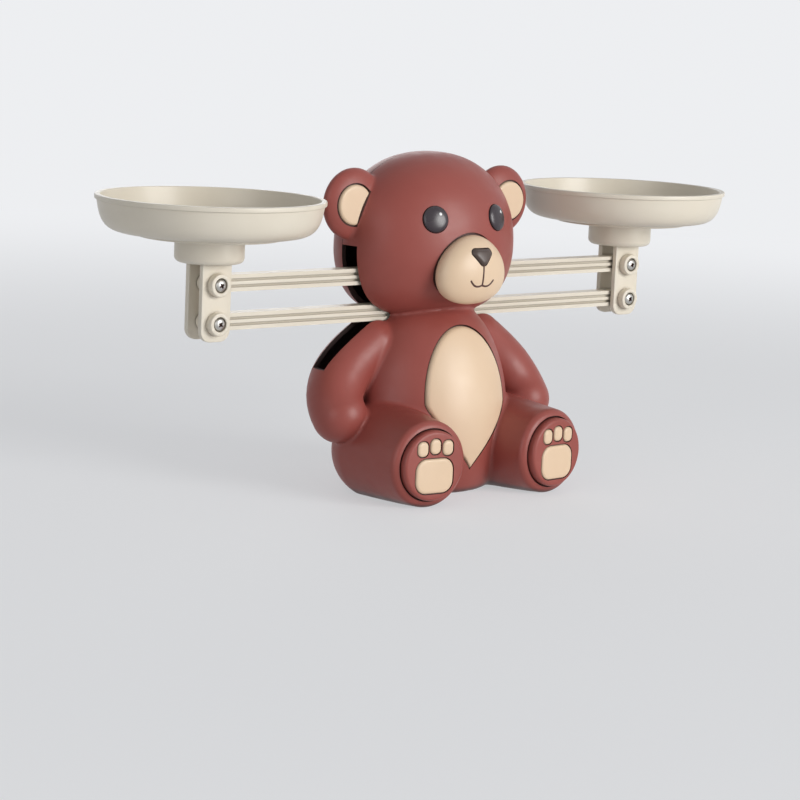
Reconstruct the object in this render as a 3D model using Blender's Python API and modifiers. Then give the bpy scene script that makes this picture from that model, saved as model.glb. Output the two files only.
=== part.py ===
"""Toy balance scale: a seated bear that carries a two-beam parallelogram balance.

Frame: origin on the base under the beams' pivots, +X along the beams, the bear faces -Y, +Z up.
Sizes are in metres. The bear is two hollow shells joined by screws from behind, with inserts for the
face, ears, belly and feet. Two equal beams turn on pins inside the bear and carry a forked support
at each end, and a pan sits on each support.
"""
import math

import bmesh
import bpy
from mathutils import Matrix, Vector

MM = 0.001

# Clearances
GAP = 0.3 * MM
GROOVE = 0.7 * MM
INSERT_DEPTH = 1.5 * MM
INSERT_RISE = 0.7 * MM

# Balance: beams
ARM = 145.0 * MM
UPPER_BEAM_Z = 115.7 * MM
BEAM_SPACING = 19.9 * MM
PIVOT_RISE = 1.5 * MM
BEAM_HEIGHT = 8.8 * MM
BEAM_DEPTH = 8.0 * MM
FLANGE = 2.0 * MM
RECESS = 1.5 * MM
RIB_HEIGHT = 1.7 * MM
RIB_START = 57.0 * MM
RIB_END_CUT = 15.0 * MM
EYE_WALL = 2.6 * MM
HUB_RADIUS = 7.5 * MM
HUB_DEPTH = 10.4 * MM

# Balance: pan supports and their pivot screws
SUPPORT_RADIUS = 18.0 * MM
SUPPORT_ROUND = 3.0 * MM
SUPPORT_BOTTOM_ABOVE_BEAM = 10.8 * MM
SUPPORT_THICKNESS = 14.7 * MM
PLATE_WIDTH = 18.0 * MM
PLATE_THICKNESS = 3.0 * MM
PLATE_BELOW_PIVOT = 9.6 * MM
PLATE_CORNER = 6.0 * MM
FORK_CLEARANCE = 0.6 * MM
BOSS_RADIUS = 6.0 * MM
BOSS_RISE = 4.2 * MM
SCREW_RADIUS = 1.8 * MM
SCREW_HEAD_RADIUS = 3.5 * MM
SCREW_HEAD_HEIGHT = 2.2 * MM
CROSS_WIDTH = 1.0 * MM
CROSS_DEPTH = 1.2 * MM

# Balance: pans
PAN_RADIUS = 59.0 * MM
PAN_HEIGHT = 20.5 * MM
PAN_WALL = 1.8 * MM
PAN_LIP = 1.1 * MM
PAN_LIP_HEIGHT = 2.3 * MM
PAN_FLOOR_RADIUS = 46.5 * MM
PAN_CORNER_RADIUS = 54.3 * MM
PAN_CORNER_HEIGHT = 7.5 * MM
PAN_FOOT_RADIUS = 37.5 * MM
PAN_FOOT_HEIGHT = 2.0 * MM
PAN_RING_WALL = 2.3 * MM

# Bear: head
HEAD_HALF_WIDTH = 55.0 * MM
HEAD_HALF_DEPTH = 39.0 * MM
HEAD_ABOVE_WIDEST = 51.0 * MM
HEAD_BELOW_WIDEST = 39.0 * MM
HEAD_FULLNESS = 2.2
HEAD_Y = 3.0 * MM
HEAD_LOWEST = 91.5 * MM
WALL = 3.0 * MM

# Bear: torso, a pear about the vertical axis, flatter from front to back than from side to side
TORSO_RADIUS = 49.0 * MM
TORSO_DEPTH_SHARE = 0.93
TORSO_WIDEST_Z = 36.0 * MM
TORSO_TOP = 105.0 * MM
TORSO_BASE_RADIUS = 38.0 * MM

# Bear: ears
EAR_RADIUS = 19.3 * MM
EAR_HALF_THICKNESS = 7.0 * MM
EAR_Y = 2.0 * MM
EAR_INSET = 3.2 * MM
EAR_ABOVE_WIDEST = 23.5 * MM
EAR_LINING_RADIUS = 11.2 * MM
EAR_LINING_OUT = 2.5 * MM
EAR_LINING_THICKNESS = 1.6 * MM

# Bear: arms, from the shoulder over the elbow to the hand
SHOULDER_IN = 12.0 * MM
SHOULDER_Y = 1.0 * MM
SHOULDER_Z = 78.5 * MM
SHOULDER_RADIUS = 15.0 * MM
ELBOW_OUT = 10.0 * MM
ELBOW_Y = -1.0 * MM
ELBOW_Z = 60.0 * MM
ELBOW_RADIUS = 15.5 * MM
HAND_OUT = 16.5 * MM
HAND_Y = -11.5 * MM
HAND_Z = 43.0 * MM
HAND_RADIUS = 14.8 * MM

# Bear: legs and feet
SOLE_IN = 6.0 * MM
SOLE_AHEAD = 12.5 * MM
LEG_SPLAY = math.radians(5.0)
LEG_END_RADIUS = 23.2 * MM
LEG_END_ROUND = 3.6 * MM
THIGH_RADIUS = 27.0 * MM
THIGH_BACK = 46.0 * MM
SOLE_POCKET = 2.4 * MM
SOLE_RISE = 4.0 * MM
SOLE_ROUND = 1.8 * MM
PAD_WIDTH = 23.5 * MM
PAD_HEIGHT = 18.4 * MM
PAD_BELOW = 5.2 * MM
PAD_CORNER = 6.5 * MM
TOE_WIDTH = 6.6 * MM
TOE_HEIGHT = 8.0 * MM
TOE_CORNER = 2.8 * MM
TOE_PITCH = 7.9 * MM
TOE_ABOVE = 9.4 * MM
TOE_MIDDLE_RISE = 1.0 * MM
PAD_DEPTH = 1.0 * MM
PAD_RISE = 0.7 * MM

# Bear: face
MUZZLE_HALF_WIDTH = 22.2 * MM
MUZZLE_HALF_DEPTH = 11.0 * MM
MUZZLE_HALF_HEIGHT = 18.6 * MM
MUZZLE_Y = -36.2 * MM
MUZZLE_BELOW_WIDEST = 9.1 * MM
MUZZLE_TAPER = 0.12
NOSE_WIDTH = 14.0 * MM
NOSE_HEIGHT = 9.5 * MM
NOSE_ABOVE_MUZZLE = 8.1 * MM
NOSE_RISE = 1.6 * MM
EYE_RADIUS = 7.1 * MM
EYE_HALF_THICKNESS = 2.0 * MM
EYE_X = 21.5 * MM
EYE_ABOVE_WIDEST = 17.8 * MM

# Bear: belly panel
BELLY_TOP = 90.0 * MM
BELLY_WIDEST_Z = 50.0 * MM
BELLY_TIP = 14.5 * MM
BELLY_POINT = 1.15
BELLY_HALF_WIDTH = 27.0 * MM

# Bear: slots, pivot posts and shell screws
SLOT_HALF_WIDTH = 5.6 * MM
SLOT_ABOVE_BEAM = 15.0 * MM
SLOT_BELOW_BEAM = 29.0 * MM
PIN_RADIUS = 2.0 * MM
PIN_HALF_LENGTH = 17.5 * MM
POST_RADIUS = 5.0 * MM
SCREW_POST_RADIUS = 6.5 * MM
SHELL_SCREW_RADIUS = 1.4 * MM
SHELL_SCREW_LENGTH = 12.0 * MM
SHELL_SCREW_DEPTH = 6.0 * MM
HEAD_SCREW_X = 24.0 * MM
HEAD_SCREW_ABOVE_WIDEST = 20.0 * MM
BASE_SCREW_X = 14.0 * MM
BASE_SCREW_Z = 26.0 * MM

# Derived places
LOWER_BEAM_Z = UPPER_BEAM_Z - BEAM_SPACING
HEAD_Z = HEAD_LOWEST + HEAD_BELOW_WIDEST
MUZZLE_Z = HEAD_Z - MUZZLE_BELOW_WIDEST
EAR_X = HEAD_HALF_WIDTH - EAR_INSET
EAR_Z = HEAD_Z + EAR_ABOVE_WIDEST
SOLE_X = TORSO_RADIUS - SOLE_IN
SOLE_Y = -TORSO_RADIUS - SOLE_AHEAD
SEAM_Y = SLOT_HALF_WIDTH
FORK_HALF_GAP = BEAM_DEPTH / 2 + FORK_CLEARANCE
PLATE_OUTER_Y = FORK_HALF_GAP + PLATE_THICKNESS
SUPPORT_BOTTOM = UPPER_BEAM_Z + SUPPORT_BOTTOM_ABOVE_BEAM
SUPPORT_TOP = SUPPORT_BOTTOM + SUPPORT_THICKNESS
PAN_BOTTOM = SUPPORT_TOP + GAP - PAN_FOOT_HEIGHT
BORE_RADIUS = PIN_RADIUS + GAP
SCREW_HOLE_RADIUS = SCREW_RADIUS + GAP
SIDES = {"left": -1, "right": 1}

COLOURS = {
    "fur": ((0.30, 0.075, 0.055), 0.55, 0.0),
    "cream": ((0.86, 0.66, 0.46), 0.5, 0.0),
    "dark": ((0.035, 0.02, 0.018), 0.4, 0.0),
    "black": ((0.01, 0.01, 0.012), 0.12, 0.0),
    "ivory": ((0.70, 0.65, 0.54), 0.38, 0.0),
    "steel": ((0.6, 0.6, 0.6), 0.3, 1.0),
}


def clear_scene():
    """Remove every object, mesh and collection that the file starts with."""
    for obj in list(bpy.data.objects):
        bpy.data.objects.remove(obj, do_unlink=True)
    for collection in list(bpy.data.collections):
        bpy.data.collections.remove(collection)


def new_collection(name):
    collection = bpy.data.collections.new(name)
    bpy.context.scene.collection.children.link(collection)
    return collection


clear_scene()
PARTS = new_collection("toy_balance_scale")
CUTTERS = new_collection("forms_and_cutters")


def link_form(name, mesh):
    """Put a mesh in the cutters' collection as a form that the build leaves out."""
    obj = bpy.data.objects.new(name, mesh)
    CUTTERS.objects.link(obj)
    obj.hide_render = True
    obj.display_type = "WIRE"
    return obj


def evaluated_mesh(obj):
    """Return a copy of the object's mesh with its modifiers applied."""
    bpy.context.view_layer.update()
    graph = bpy.context.evaluated_depsgraph_get()
    return bpy.data.meshes.new_from_object(obj.evaluated_get(graph))


def bake(obj):
    """Apply an object's modifiers to its mesh."""
    mesh = evaluated_mesh(obj)
    obj.modifiers.clear()
    obj.data = mesh
    return obj


def to_world(obj):
    """Move an object's placement into its mesh."""
    bpy.context.view_layer.update()
    obj.data.transform(obj.matrix_world)
    obj.matrix_world = Matrix.Identity(4)
    return obj


def combine(target, others, operation):
    """Join other forms to the target, cut them from it, or keep what they share."""
    for other in others:
        modifier = target.modifiers.new(operation.lower(), "BOOLEAN")
        modifier.operation = operation
        modifier.solver = "EXACT"
        modifier.object = other
    bake(target)
    bm = bmesh.new()
    bm.from_mesh(target.data)
    bmesh.ops.remove_doubles(bm, verts=bm.verts, dist=0.01 * MM)
    bmesh.ops.dissolve_degenerate(bm, edges=bm.edges, dist=0.01 * MM)
    bm.to_mesh(target.data)
    bm.free()
    return target


def sphere(name, centre, semi_axes, segments, rings):
    """Make an ellipsoid with semi-axes along X, Y and Z."""
    bm = bmesh.new()
    bmesh.ops.create_uvsphere(bm, u_segments=segments, v_segments=rings, radius=1.0)
    size = Matrix.Diagonal((*semi_axes, 1.0))
    bmesh.ops.transform(bm, matrix=Matrix.Translation(centre) @ size, verts=bm.verts)
    mesh = bpy.data.meshes.new(name)
    bm.to_mesh(mesh)
    bm.free()
    return link_form(name, mesh)


def box(name, low, high):
    """Make a box between two corners."""
    bm = bmesh.new()
    bmesh.ops.create_cube(bm, size=1.0)
    low, high = Vector(low), Vector(high)
    size = Matrix.Diagonal((*(high - low), 1.0))
    bmesh.ops.transform(bm, matrix=Matrix.Translation((low + high) / 2) @ size, verts=bm.verts)
    mesh = bpy.data.meshes.new(name)
    bm.to_mesh(mesh)
    bm.free()
    return link_form(name, mesh)


def cylinder_y(name, x, z, radius, y_from, y_to, sides=16):
    """Make a cylinder along Y."""
    bm = bmesh.new()
    bmesh.ops.create_cone(bm, cap_ends=True, segments=sides, radius1=radius, radius2=radius,
                          depth=y_to - y_from)
    place = Matrix.Translation((x, (y_from + y_to) / 2, z)) @ Matrix.Rotation(math.pi / 2, 4, "X")
    bmesh.ops.transform(bm, matrix=place, verts=bm.verts)
    mesh = bpy.data.meshes.new(name)
    bm.to_mesh(mesh)
    bm.free()
    return link_form(name, mesh)


def turned(name, profile, steps):
    """Turn a profile of (radius, height) points, top to bottom, about the Z axis."""
    mesh = bpy.data.meshes.new(name)
    points = [(radius, 0.0, height) for radius, height in profile]
    mesh.from_pydata(points, [(i, i + 1) for i in range(len(points) - 1)], [])
    obj = link_form(name, mesh)
    screw = obj.modifiers.new("turn", "SCREW")
    screw.axis = "Z"
    screw.angle = math.tau
    screw.steps = steps
    screw.render_steps = steps
    screw.use_merge_vertices = True
    screw.merge_threshold = 0.01 * MM
    return bake(obj)


def arc(centre, radius, start_deg, end_deg, count):
    """Return points on an arc, ends included, as (first, second) coordinates."""
    angles = [math.radians(start_deg + (end_deg - start_deg) * i / (count - 1)) for i in range(count)]
    return [(centre[0] + radius * math.cos(a), centre[1] + radius * math.sin(a)) for a in angles]


def limb(name, start, end, start_radius, end_radius, steps):
    """Make a tapered limb with round ends between two points."""
    axis = Vector(end) - Vector(start)
    length = axis.length
    profile = [(r, length + h) for r, h in arc((0, 0), end_radius, 90, 5, 4)]
    profile += arc((0, 0), start_radius, -5, -90, 4)
    profile[0] = (0.0, length + end_radius)
    profile[-1] = (0.0, -start_radius)
    obj = turned(name, profile, steps)
    obj.matrix_world = Matrix.Translation(start) @ axis.to_track_quat("Z", "Y").to_matrix().to_4x4()
    return to_world(obj)


def plate(name, outline, y_from, y_to):
    """Make a flat plate in the XZ plane from an outline of (x, z) points."""
    bm = bmesh.new()
    front, back = [[bm.verts.new((x, y, z)) for x, z in outline] for y in (y_from, y_to)]
    bm.faces.new(front)
    bm.faces.new(back)
    for i in range(len(outline)):
        bm.faces.new((front[i - 1], front[i], back[i], back[i - 1]))
    bmesh.ops.recalc_face_normals(bm, faces=bm.faces)
    mesh = bpy.data.meshes.new(name)
    bm.to_mesh(mesh)
    bm.free()
    return link_form(name, mesh)


def rounded_rectangle(centre, width, height, corner, count=4):
    """Return the outline of a rectangle with round corners."""
    x, z = centre
    half_w, half_h = width / 2 - corner, height / 2 - corner
    outline = []
    for sign_x, sign_z, start in ((1, 1, 0), (-1, 1, 90), (-1, -1, 180), (1, -1, 270)):
        outline += arc((x + sign_x * half_w, z + sign_z * half_h), corner, start, start + 90, count)
    return outline


def stadium(length, height, z, count=9):
    """Return the outline of a bar with half-round ends whose centres lie length apart."""
    right = arc((length / 2, z), height / 2, -90, 90, count)
    left = arc((-length / 2, z), height / 2, 90, 270, count)
    return right + left


def finish(obj, name, colour, origin=(0.0, 0.0, 0.0)):
    """Make a form a part: name it, give it its material and put its origin in place."""
    obj.name = name
    obj.data.name = name
    CUTTERS.objects.unlink(obj)
    PARTS.objects.link(obj)
    obj.hide_render = False
    obj.display_type = "TEXTURED"
    base, roughness, metallic = COLOURS[colour]
    material = bpy.data.materials.new(name)
    material.use_nodes = True
    shader = material.node_tree.nodes["Principled BSDF"]
    shader.inputs["Base Color"].default_value = (*base, 1.0)
    shader.inputs["Roughness"].default_value = roughness
    shader.inputs["Metallic"].default_value = metallic
    obj.data.materials.clear()
    obj.data.materials.append(material)
    obj.data.transform(Matrix.Translation(-Vector(origin)))
    obj.location = origin
    obj.data.shade_smooth()
    obj.data.set_sharp_from_angle(angle=math.radians(35))
    return obj


def head_share(z, grow=0.0):
    """Return the head's width at a height as a share of its greatest width."""
    reach = (HEAD_ABOVE_WIDEST if z > HEAD_Z else HEAD_BELOW_WIDEST) + grow
    height = min(abs(z - HEAD_Z) / reach, 1.0)
    return (1 - height ** HEAD_FULLNESS) ** (1 / HEAD_FULLNESS)


def head_depth(x, z):
    """Return how far the head's surface lies from its middle plane at a point seen from the front."""
    return HEAD_HALF_DEPTH * math.sqrt(max(head_share(z) ** 2 - (x / HEAD_HALF_WIDTH) ** 2, 0.0))


def head_form(name, grow=0.0, segments=28, rings=14):
    """Make the head: an egg with its widest place below its middle and full cheeks."""
    head = sphere(name, (0, 0, 0), (1, 1, 1), segments, rings)
    for vertex in head.data.vertices:
        x, y, height = vertex.co
        reach = (HEAD_ABOVE_WIDEST if height > 0 else HEAD_BELOW_WIDEST) + grow
        z = HEAD_Z + height * reach
        widen = head_share(z, grow) / max(math.hypot(x, y), 0.001)
        vertex.co = (x * widen * (HEAD_HALF_WIDTH + grow), HEAD_Y + y * widen * (HEAD_HALF_DEPTH + grow), z)
    return head


def torso_radius(z):
    """Return the pear's radius at a height: a quarter ellipse below its widest place, a slope above."""
    if z < TORSO_WIDEST_Z:
        share = (TORSO_WIDEST_Z - z) / TORSO_WIDEST_Z
        return TORSO_BASE_RADIUS + (TORSO_RADIUS - TORSO_BASE_RADIUS) * math.sqrt(1 - share ** 2)
    share = (z - TORSO_WIDEST_Z) / (TORSO_TOP - TORSO_WIDEST_Z)
    return TORSO_RADIUS * math.sqrt(1 - share ** 2) ** 0.85


def torso_form(name, grow=0.0, steps=28, levels=9):
    """Turn the pear and flatten it, with its whole surface moved out by grow."""
    bottom = -grow
    top = TORSO_TOP + grow
    heights = [TORSO_TOP * math.sin(math.pi / 2 * i / levels) for i in range(levels, -1, -1)]
    profile = [(0.0, top)]
    profile += [(torso_radius(z) + grow, z) for z in heights[1:-1]]
    profile += [(TORSO_BASE_RADIUS + grow, bottom), (0.0, bottom)]
    torso = turned(name, profile, steps)
    for vertex in torso.data.vertices:
        radius = math.hypot(vertex.co.x, vertex.co.y)
        if radius > 0.1 * MM:
            vertex.co.y *= (TORSO_DEPTH_SHARE * (radius - grow) + grow) / radius
    return torso


def ear_form(name, side, grow=0.0, segments=22, rings=8):
    semi_axes = (EAR_RADIUS + grow, EAR_HALF_THICKNESS + grow, EAR_RADIUS + grow)
    return sphere(name, (side * EAR_X, EAR_Y, EAR_Z), semi_axes, segments, rings)


def arm_forms(name, side, grow=0.0, steps=14):
    """Return the upper arm and the forearm, which meet at the elbow."""
    shoulder = (side * (TORSO_RADIUS - SHOULDER_IN), SHOULDER_Y, SHOULDER_Z)
    elbow = (side * (TORSO_RADIUS + ELBOW_OUT), ELBOW_Y, ELBOW_Z)
    hand = (side * (TORSO_RADIUS + HAND_OUT), HAND_Y, HAND_Z)
    upper = limb(name + "_upper", shoulder, elbow, SHOULDER_RADIUS + grow, ELBOW_RADIUS + grow, steps)
    fore = limb(name + "_fore", elbow, hand, ELBOW_RADIUS + grow, HAND_RADIUS + grow, steps)
    return [upper, fore]


def foot_matrix(side):
    """Return the foot's frame: X across the sole, Z up, and -Y out of the sole."""
    turn = Matrix.Rotation(side * LEG_SPLAY, 4, "Z")
    return Matrix.Translation((side * SOLE_X, SOLE_Y, LEG_END_RADIUS)) @ turn


def place_on_foot(obj, side):
    obj.matrix_world = foot_matrix(side)
    return to_world(obj)


def leg_form(name, side, grow=0.0, steps=22):
    """Turn a leg about the line through the sole's centre, with a round thigh and a rounded rim."""
    end_radius = LEG_END_RADIUS + grow
    thigh = THIGH_RADIUS + grow
    rim = arc((end_radius - LEG_END_ROUND, grow - LEG_END_ROUND), LEG_END_ROUND, 90, 0, 4)
    cap = [(r, h - THIGH_BACK) for r, h in arc((0, 0), thigh, 0, -90, 5)]
    profile = [(0.0, grow)] + rim + cap[:-1] + [(0.0, -THIGH_BACK - thigh)]
    obj = turned(name, profile, steps)
    obj.matrix_world = foot_matrix(side) @ Matrix.Rotation(math.pi / 2, 4, "X")
    return to_world(obj)


def below_floor(name, top):
    reach = 3 * ARM
    return box(name, (-reach, -reach, -reach), (reach, reach, top))


def egg_form(name, grow=0.0, segments=24, rings=12):
    """Make the muzzle's egg, narrower towards the nose."""
    half = (MUZZLE_HALF_WIDTH + grow, MUZZLE_HALF_DEPTH + grow, MUZZLE_HALF_HEIGHT + grow)
    egg = sphere(name, (0, 0, 0), half, segments, rings)
    for vertex in egg.data.vertices:
        vertex.co.x *= 1 - MUZZLE_TAPER * vertex.co.z / MUZZLE_HALF_HEIGHT
    egg.data.transform(Matrix.Translation((0, MUZZLE_Y, MUZZLE_Z)))
    return egg


def nose_prism(name, grow=0.0):
    """Extrude the nose's triangle, point down, with round corners."""
    corner = 2.2 * MM
    top = MUZZLE_Z + NOSE_ABOVE_MUZZLE + NOSE_HEIGHT / 2
    bottom = top - NOSE_HEIGHT
    half = NOSE_WIDTH / 2
    outline = arc((half - corner, top - corner), corner + grow, -30, 90, 5)
    outline += arc((-half + corner, top - corner), corner + grow, 90, 210, 5)
    outline += arc((0, bottom + corner), corner + grow, 230, 310, 5)
    return plate(name, outline, MUZZLE_Y - 2 * MUZZLE_HALF_DEPTH, MUZZLE_Y)


def belly_outline(grow=0.0, count=13):
    """Return the belly's outline: half an ellipse above its widest place and a point below it."""
    half_width = BELLY_HALF_WIDTH + grow
    upper = BELLY_TOP - BELLY_WIDEST_Z + grow
    lower = BELLY_WIDEST_Z - BELLY_TIP + grow
    outline = []
    for i in range(count):
        angle = math.pi * i / (count - 1)
        outline.append((half_width * math.cos(angle), BELLY_WIDEST_Z + upper * math.sin(angle)))
    for i in range(1, count - 1):
        across = math.cos(math.pi * i / (count - 1))
        outline.append((-half_width * across, BELLY_WIDEST_Z - lower * (1 - abs(across) ** BELLY_POINT)))
    return outline


def belly_prism(name, grow=0.0):
    return plate(name, belly_outline(grow), -2 * TORSO_RADIUS, -TORSO_RADIUS / 4)


def eye_lens(name, side, grow=0.0):
    """Make a lens on the head's surface, square to it."""
    x, z = side * EYE_X, HEAD_Z + EYE_ABOVE_WIDEST
    depth = head_depth(x, z)
    step = 0.1 * MM
    slope_x = (head_depth(x + step, z) - head_depth(x - step, z)) / (2 * step)
    slope_z = (head_depth(x, z + step) - head_depth(x, z - step)) / (2 * step)
    normal = Vector((-slope_x, -1.0, -slope_z)).normalized()
    radius, thickness = EYE_RADIUS + grow, EYE_HALF_THICKNESS + grow
    lens = sphere(name, (0, 0, 0), (radius, radius, thickness), 18, 6)
    lens.matrix_world = (Matrix.Translation((x, HEAD_Y - depth, z))
                         @ normal.to_track_quat("Z", "Y").to_matrix().to_4x4())
    return to_world(lens)


def ear_recess(name, side, grow=0.0):
    floor = EAR_Y - EAR_HALF_THICKNESS + EAR_LINING_THICKNESS + INSERT_RISE
    x, z = side * (EAR_X + EAR_LINING_OUT), EAR_Z
    return cylinder_y(name, x, z, EAR_LINING_RADIUS + grow, EAR_Y - 3 * EAR_HALF_THICKNESS, floor + grow, 24)


def sole_disc(name, side, radius, depth_in, rise):
    """Make a disc in the foot's frame, from depth_in inside the leg's end to rise outside it."""
    disc = cylinder_y(name, 0.0, 0.0, radius, -rise, depth_in, 28)
    return place_on_foot(disc, side)


def main_pad(name, side, grow, y_from, y_to):
    """Make the foot's large pad as a plate in the foot's frame."""
    width, height = PAD_WIDTH + 2 * grow, PAD_HEIGHT + 2 * grow
    outline = rounded_rectangle((0, -PAD_BELOW), width, height, PAD_CORNER + grow)
    return place_on_foot(plate(name, outline, y_from, y_to), side)


def toe_pads(name, side, grow, y_from, y_to):
    """Return the foot's three toe pads as plates in the foot's frame."""
    toes = []
    for toe in (-1, 0, 1):
        centre = (toe * TOE_PITCH, TOE_ABOVE + (TOE_MIDDLE_RISE if toe == 0 else 0.0))
        outline = rounded_rectangle(centre, TOE_WIDTH + 2 * grow, TOE_HEIGHT + 2 * grow, TOE_CORNER + grow, 3)
        toes.append(place_on_foot(plate(f"{name}_{toe + 2}", outline, y_from, y_to), side))
    return toes


def join_meshes(name, objects):
    """Put separate bodies into one object."""
    bm = bmesh.new()
    for obj in objects:
        bm.from_mesh(obj.data)
    mesh = bpy.data.meshes.new(name)
    bm.to_mesh(mesh)
    bm.free()
    return link_form(name, mesh)


def screw_places():
    """Return the places of the screws that join the shells."""
    head_z = HEAD_Z + HEAD_SCREW_ABOVE_WIDEST
    return [(s * HEAD_SCREW_X, head_z) for s in (-1, 1)] + [(s * BASE_SCREW_X, BASE_SCREW_Z) for s in (-1, 1)]


def hollow_bear():
    """Join the bear's forms and hollow them out, leaving the posts for the pivots and screws."""
    bear = head_form("bear")
    outer = [torso_form("torso")]
    inner = [head_form("head_inside", -WALL, 16, 9), torso_form("torso_inside", -WALL, 16, 6)]
    for word, side in SIDES.items():
        outer += [ear_form(word + "_ear", side), *arm_forms(word + "_arm", side)]
        outer.append(leg_form(word + "_leg", side))
        inner += arm_forms(word + "_arm_inside", side, -WALL, 8)
        inner.append(leg_form(word + "_leg_inside", side, -WALL - SOLE_POCKET, 12))
    combine(bear, outer, "UNION")
    combine(bear, [below_floor("floor_cut", 0.0)], "DIFFERENCE")
    combine(inner[0], inner[1:], "UNION")
    combine(inner[0], [below_floor("inside_floor_cut", WALL), *post_forms()], "DIFFERENCE")
    combine(bear, inner[:1], "DIFFERENCE")
    return bear


def pivot_heights():
    return [UPPER_BEAM_Z + PIVOT_RISE, LOWER_BEAM_Z + PIVOT_RISE]


def post_forms():
    """Return the posts that run from the front wall to the rear wall round the pins and screws."""
    reach = 2 * TORSO_RADIUS
    posts = []
    for i, z in enumerate(pivot_heights()):
        posts.append(cylinder_y(f"pivot_post_{i}", 0, z, POST_RADIUS, -reach, reach))
    for i, (x, z) in enumerate(screw_places()):
        posts.append(cylinder_y(f"screw_post_{i}", x, z, SCREW_POST_RADIUS, -reach, reach))
    return posts


def bore_forms():
    """Return the cutters for the pin bores, screw holes and screw wells."""
    cutters = []
    bore_end = PIN_HALF_LENGTH + GAP
    for i, z in enumerate(pivot_heights()):
        cutters.append(cylinder_y(f"pin_bore_{i}", 0, z, BORE_RADIUS, -bore_end, bore_end, 14))
    hole = SHELL_SCREW_RADIUS + GAP
    head_seat = SEAM_Y + SHELL_SCREW_DEPTH
    for i, (x, z) in enumerate(screw_places()):
        tip = head_seat - SHELL_SCREW_LENGTH - GAP
        cutters.append(cylinder_y(f"screw_hole_{i}", x, z, hole, tip, head_seat + GAP, 10))
        well = SCREW_HEAD_RADIUS + GAP
        cutters.append(cylinder_y(f"screw_well_{i}", x, z, well, head_seat, 2 * TORSO_RADIUS))
    return cutters


def build_shells():
    """Make the front and rear shells from the hollow bear."""
    bear = hollow_bear()
    combine(bear, bore_forms(), "DIFFERENCE")
    rear = link_form("rear", bear.data.copy())
    reach = 3 * ARM
    behind = box("behind_seam", (-reach, SEAM_Y - GAP / 2, -reach), (reach, reach, reach))
    ahead = box("ahead_of_seam", (-reach, -reach, -reach), (reach, SEAM_Y + GAP / 2, reach))
    slot = box("slot", (-reach, -SLOT_HALF_WIDTH, LOWER_BEAM_Z - SLOT_BELOW_BEAM),
               (reach, 2 * SLOT_HALF_WIDTH, UPPER_BEAM_Z + SLOT_ABOVE_BEAM))
    combine(bear, [behind, slot], "DIFFERENCE")
    combine(rear, [ahead], "DIFFERENCE")
    combine(bear, pocket_forms(), "DIFFERENCE")
    finish(bear, "front_shell", "fur")
    finish(rear, "rear_shell", "fur")


def pocket_forms():
    """Return the cutters for the pockets that hold the inserts."""
    pockets = []
    muzzle = egg_form("muzzle_pocket", GROOVE)
    pockets.append(combine(muzzle, [head_form("muzzle_pocket_floor", -INSERT_DEPTH)], "DIFFERENCE"))
    belly = belly_prism("belly_pocket", GROOVE)
    limits = [torso_form("belly_pocket_floor", -INSERT_DEPTH)]
    limits += [leg_form(f"belly_pocket_{word}", side, GROOVE) for word, side in SIDES.items()]
    pockets.append(combine(belly, limits, "DIFFERENCE"))
    for word, side in SIDES.items():
        pockets.append(eye_lens(word + "_eye_pocket", side, GAP))
        recess = ear_recess(word + "_ear_pocket", side)
        pockets.append(combine(recess, [head_form(word + "_ear_limit", GROOVE)], "DIFFERENCE"))
        pocket_radius = LEG_END_RADIUS - LEG_END_ROUND
        pockets.append(sole_disc(word + "_sole_pocket", side, pocket_radius, SOLE_POCKET, LEG_END_ROUND))
    return pockets


def build_face():
    """Make the muzzle, nose and eyes."""
    muzzle = egg_form("muzzle_egg")
    combine(muzzle, [head_form("muzzle_back", GAP - INSERT_DEPTH)], "DIFFERENCE")
    nose_pocket = nose_prism("nose_pocket", GAP)
    combine(nose_pocket, [egg_form("nose_pocket_floor", -INSERT_DEPTH)], "DIFFERENCE")
    combine(muzzle, [nose_pocket], "DIFFERENCE")
    finish(muzzle, "muzzle", "cream")
    nose = nose_prism("nose_triangle")
    combine(nose, [egg_form("nose_face", NOSE_RISE)], "INTERSECT")
    combine(nose, [egg_form("nose_back", GAP - INSERT_DEPTH)], "DIFFERENCE")
    finish(nose, "nose", "dark")
    for word, side in SIDES.items():
        finish(eye_lens(word + "_lens", side), word + "_eye", "black")


def build_ear_linings():
    """Make the cream discs in the ears, cut off where the head passes them."""
    for word, side in SIDES.items():
        x, z = side * (EAR_X + EAR_LINING_OUT), EAR_Z
        back = EAR_Y - EAR_HALF_THICKNESS + EAR_LINING_THICKNESS + INSERT_RISE - GAP
        front = back - EAR_LINING_THICKNESS
        lining = cylinder_y(word + "_lining", x, z, EAR_LINING_RADIUS - GAP, front, back, 24)
        combine(lining, [head_form(word + "_lining_limit", 2 * GROOVE)], "DIFFERENCE")
        finish(lining, word + "_ear_lining", "cream")


def build_belly():
    """Make the belly panel: a slice of the torso's surface inside the belly's outline."""
    panel = belly_prism("belly")
    combine(panel, [torso_form("belly_face", INSERT_RISE)], "INTERSECT")
    limits = [torso_form("belly_back", GAP - INSERT_DEPTH)]
    limits += [leg_form(f"belly_{word}", side, 2 * GROOVE) for word, side in SIDES.items()]
    combine(panel, limits, "DIFFERENCE")
    finish(panel, "belly_panel", "cream")


def sole_form(name, side):
    """Turn a sole: a thick disc with a rounded front edge, seated in the leg's end."""
    radius = LEG_END_RADIUS - LEG_END_ROUND - GROOVE
    front = arc((radius - SOLE_ROUND, SOLE_RISE - SOLE_ROUND), SOLE_ROUND, 90, 0, 4)
    back = GAP - SOLE_POCKET
    sole = turned(name, [(0.0, SOLE_RISE)] + front + [(radius, back), (0.0, back)], 28)
    sole.matrix_world = foot_matrix(side) @ Matrix.Rotation(math.pi / 2, 4, "X")
    return to_world(sole)


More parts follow.
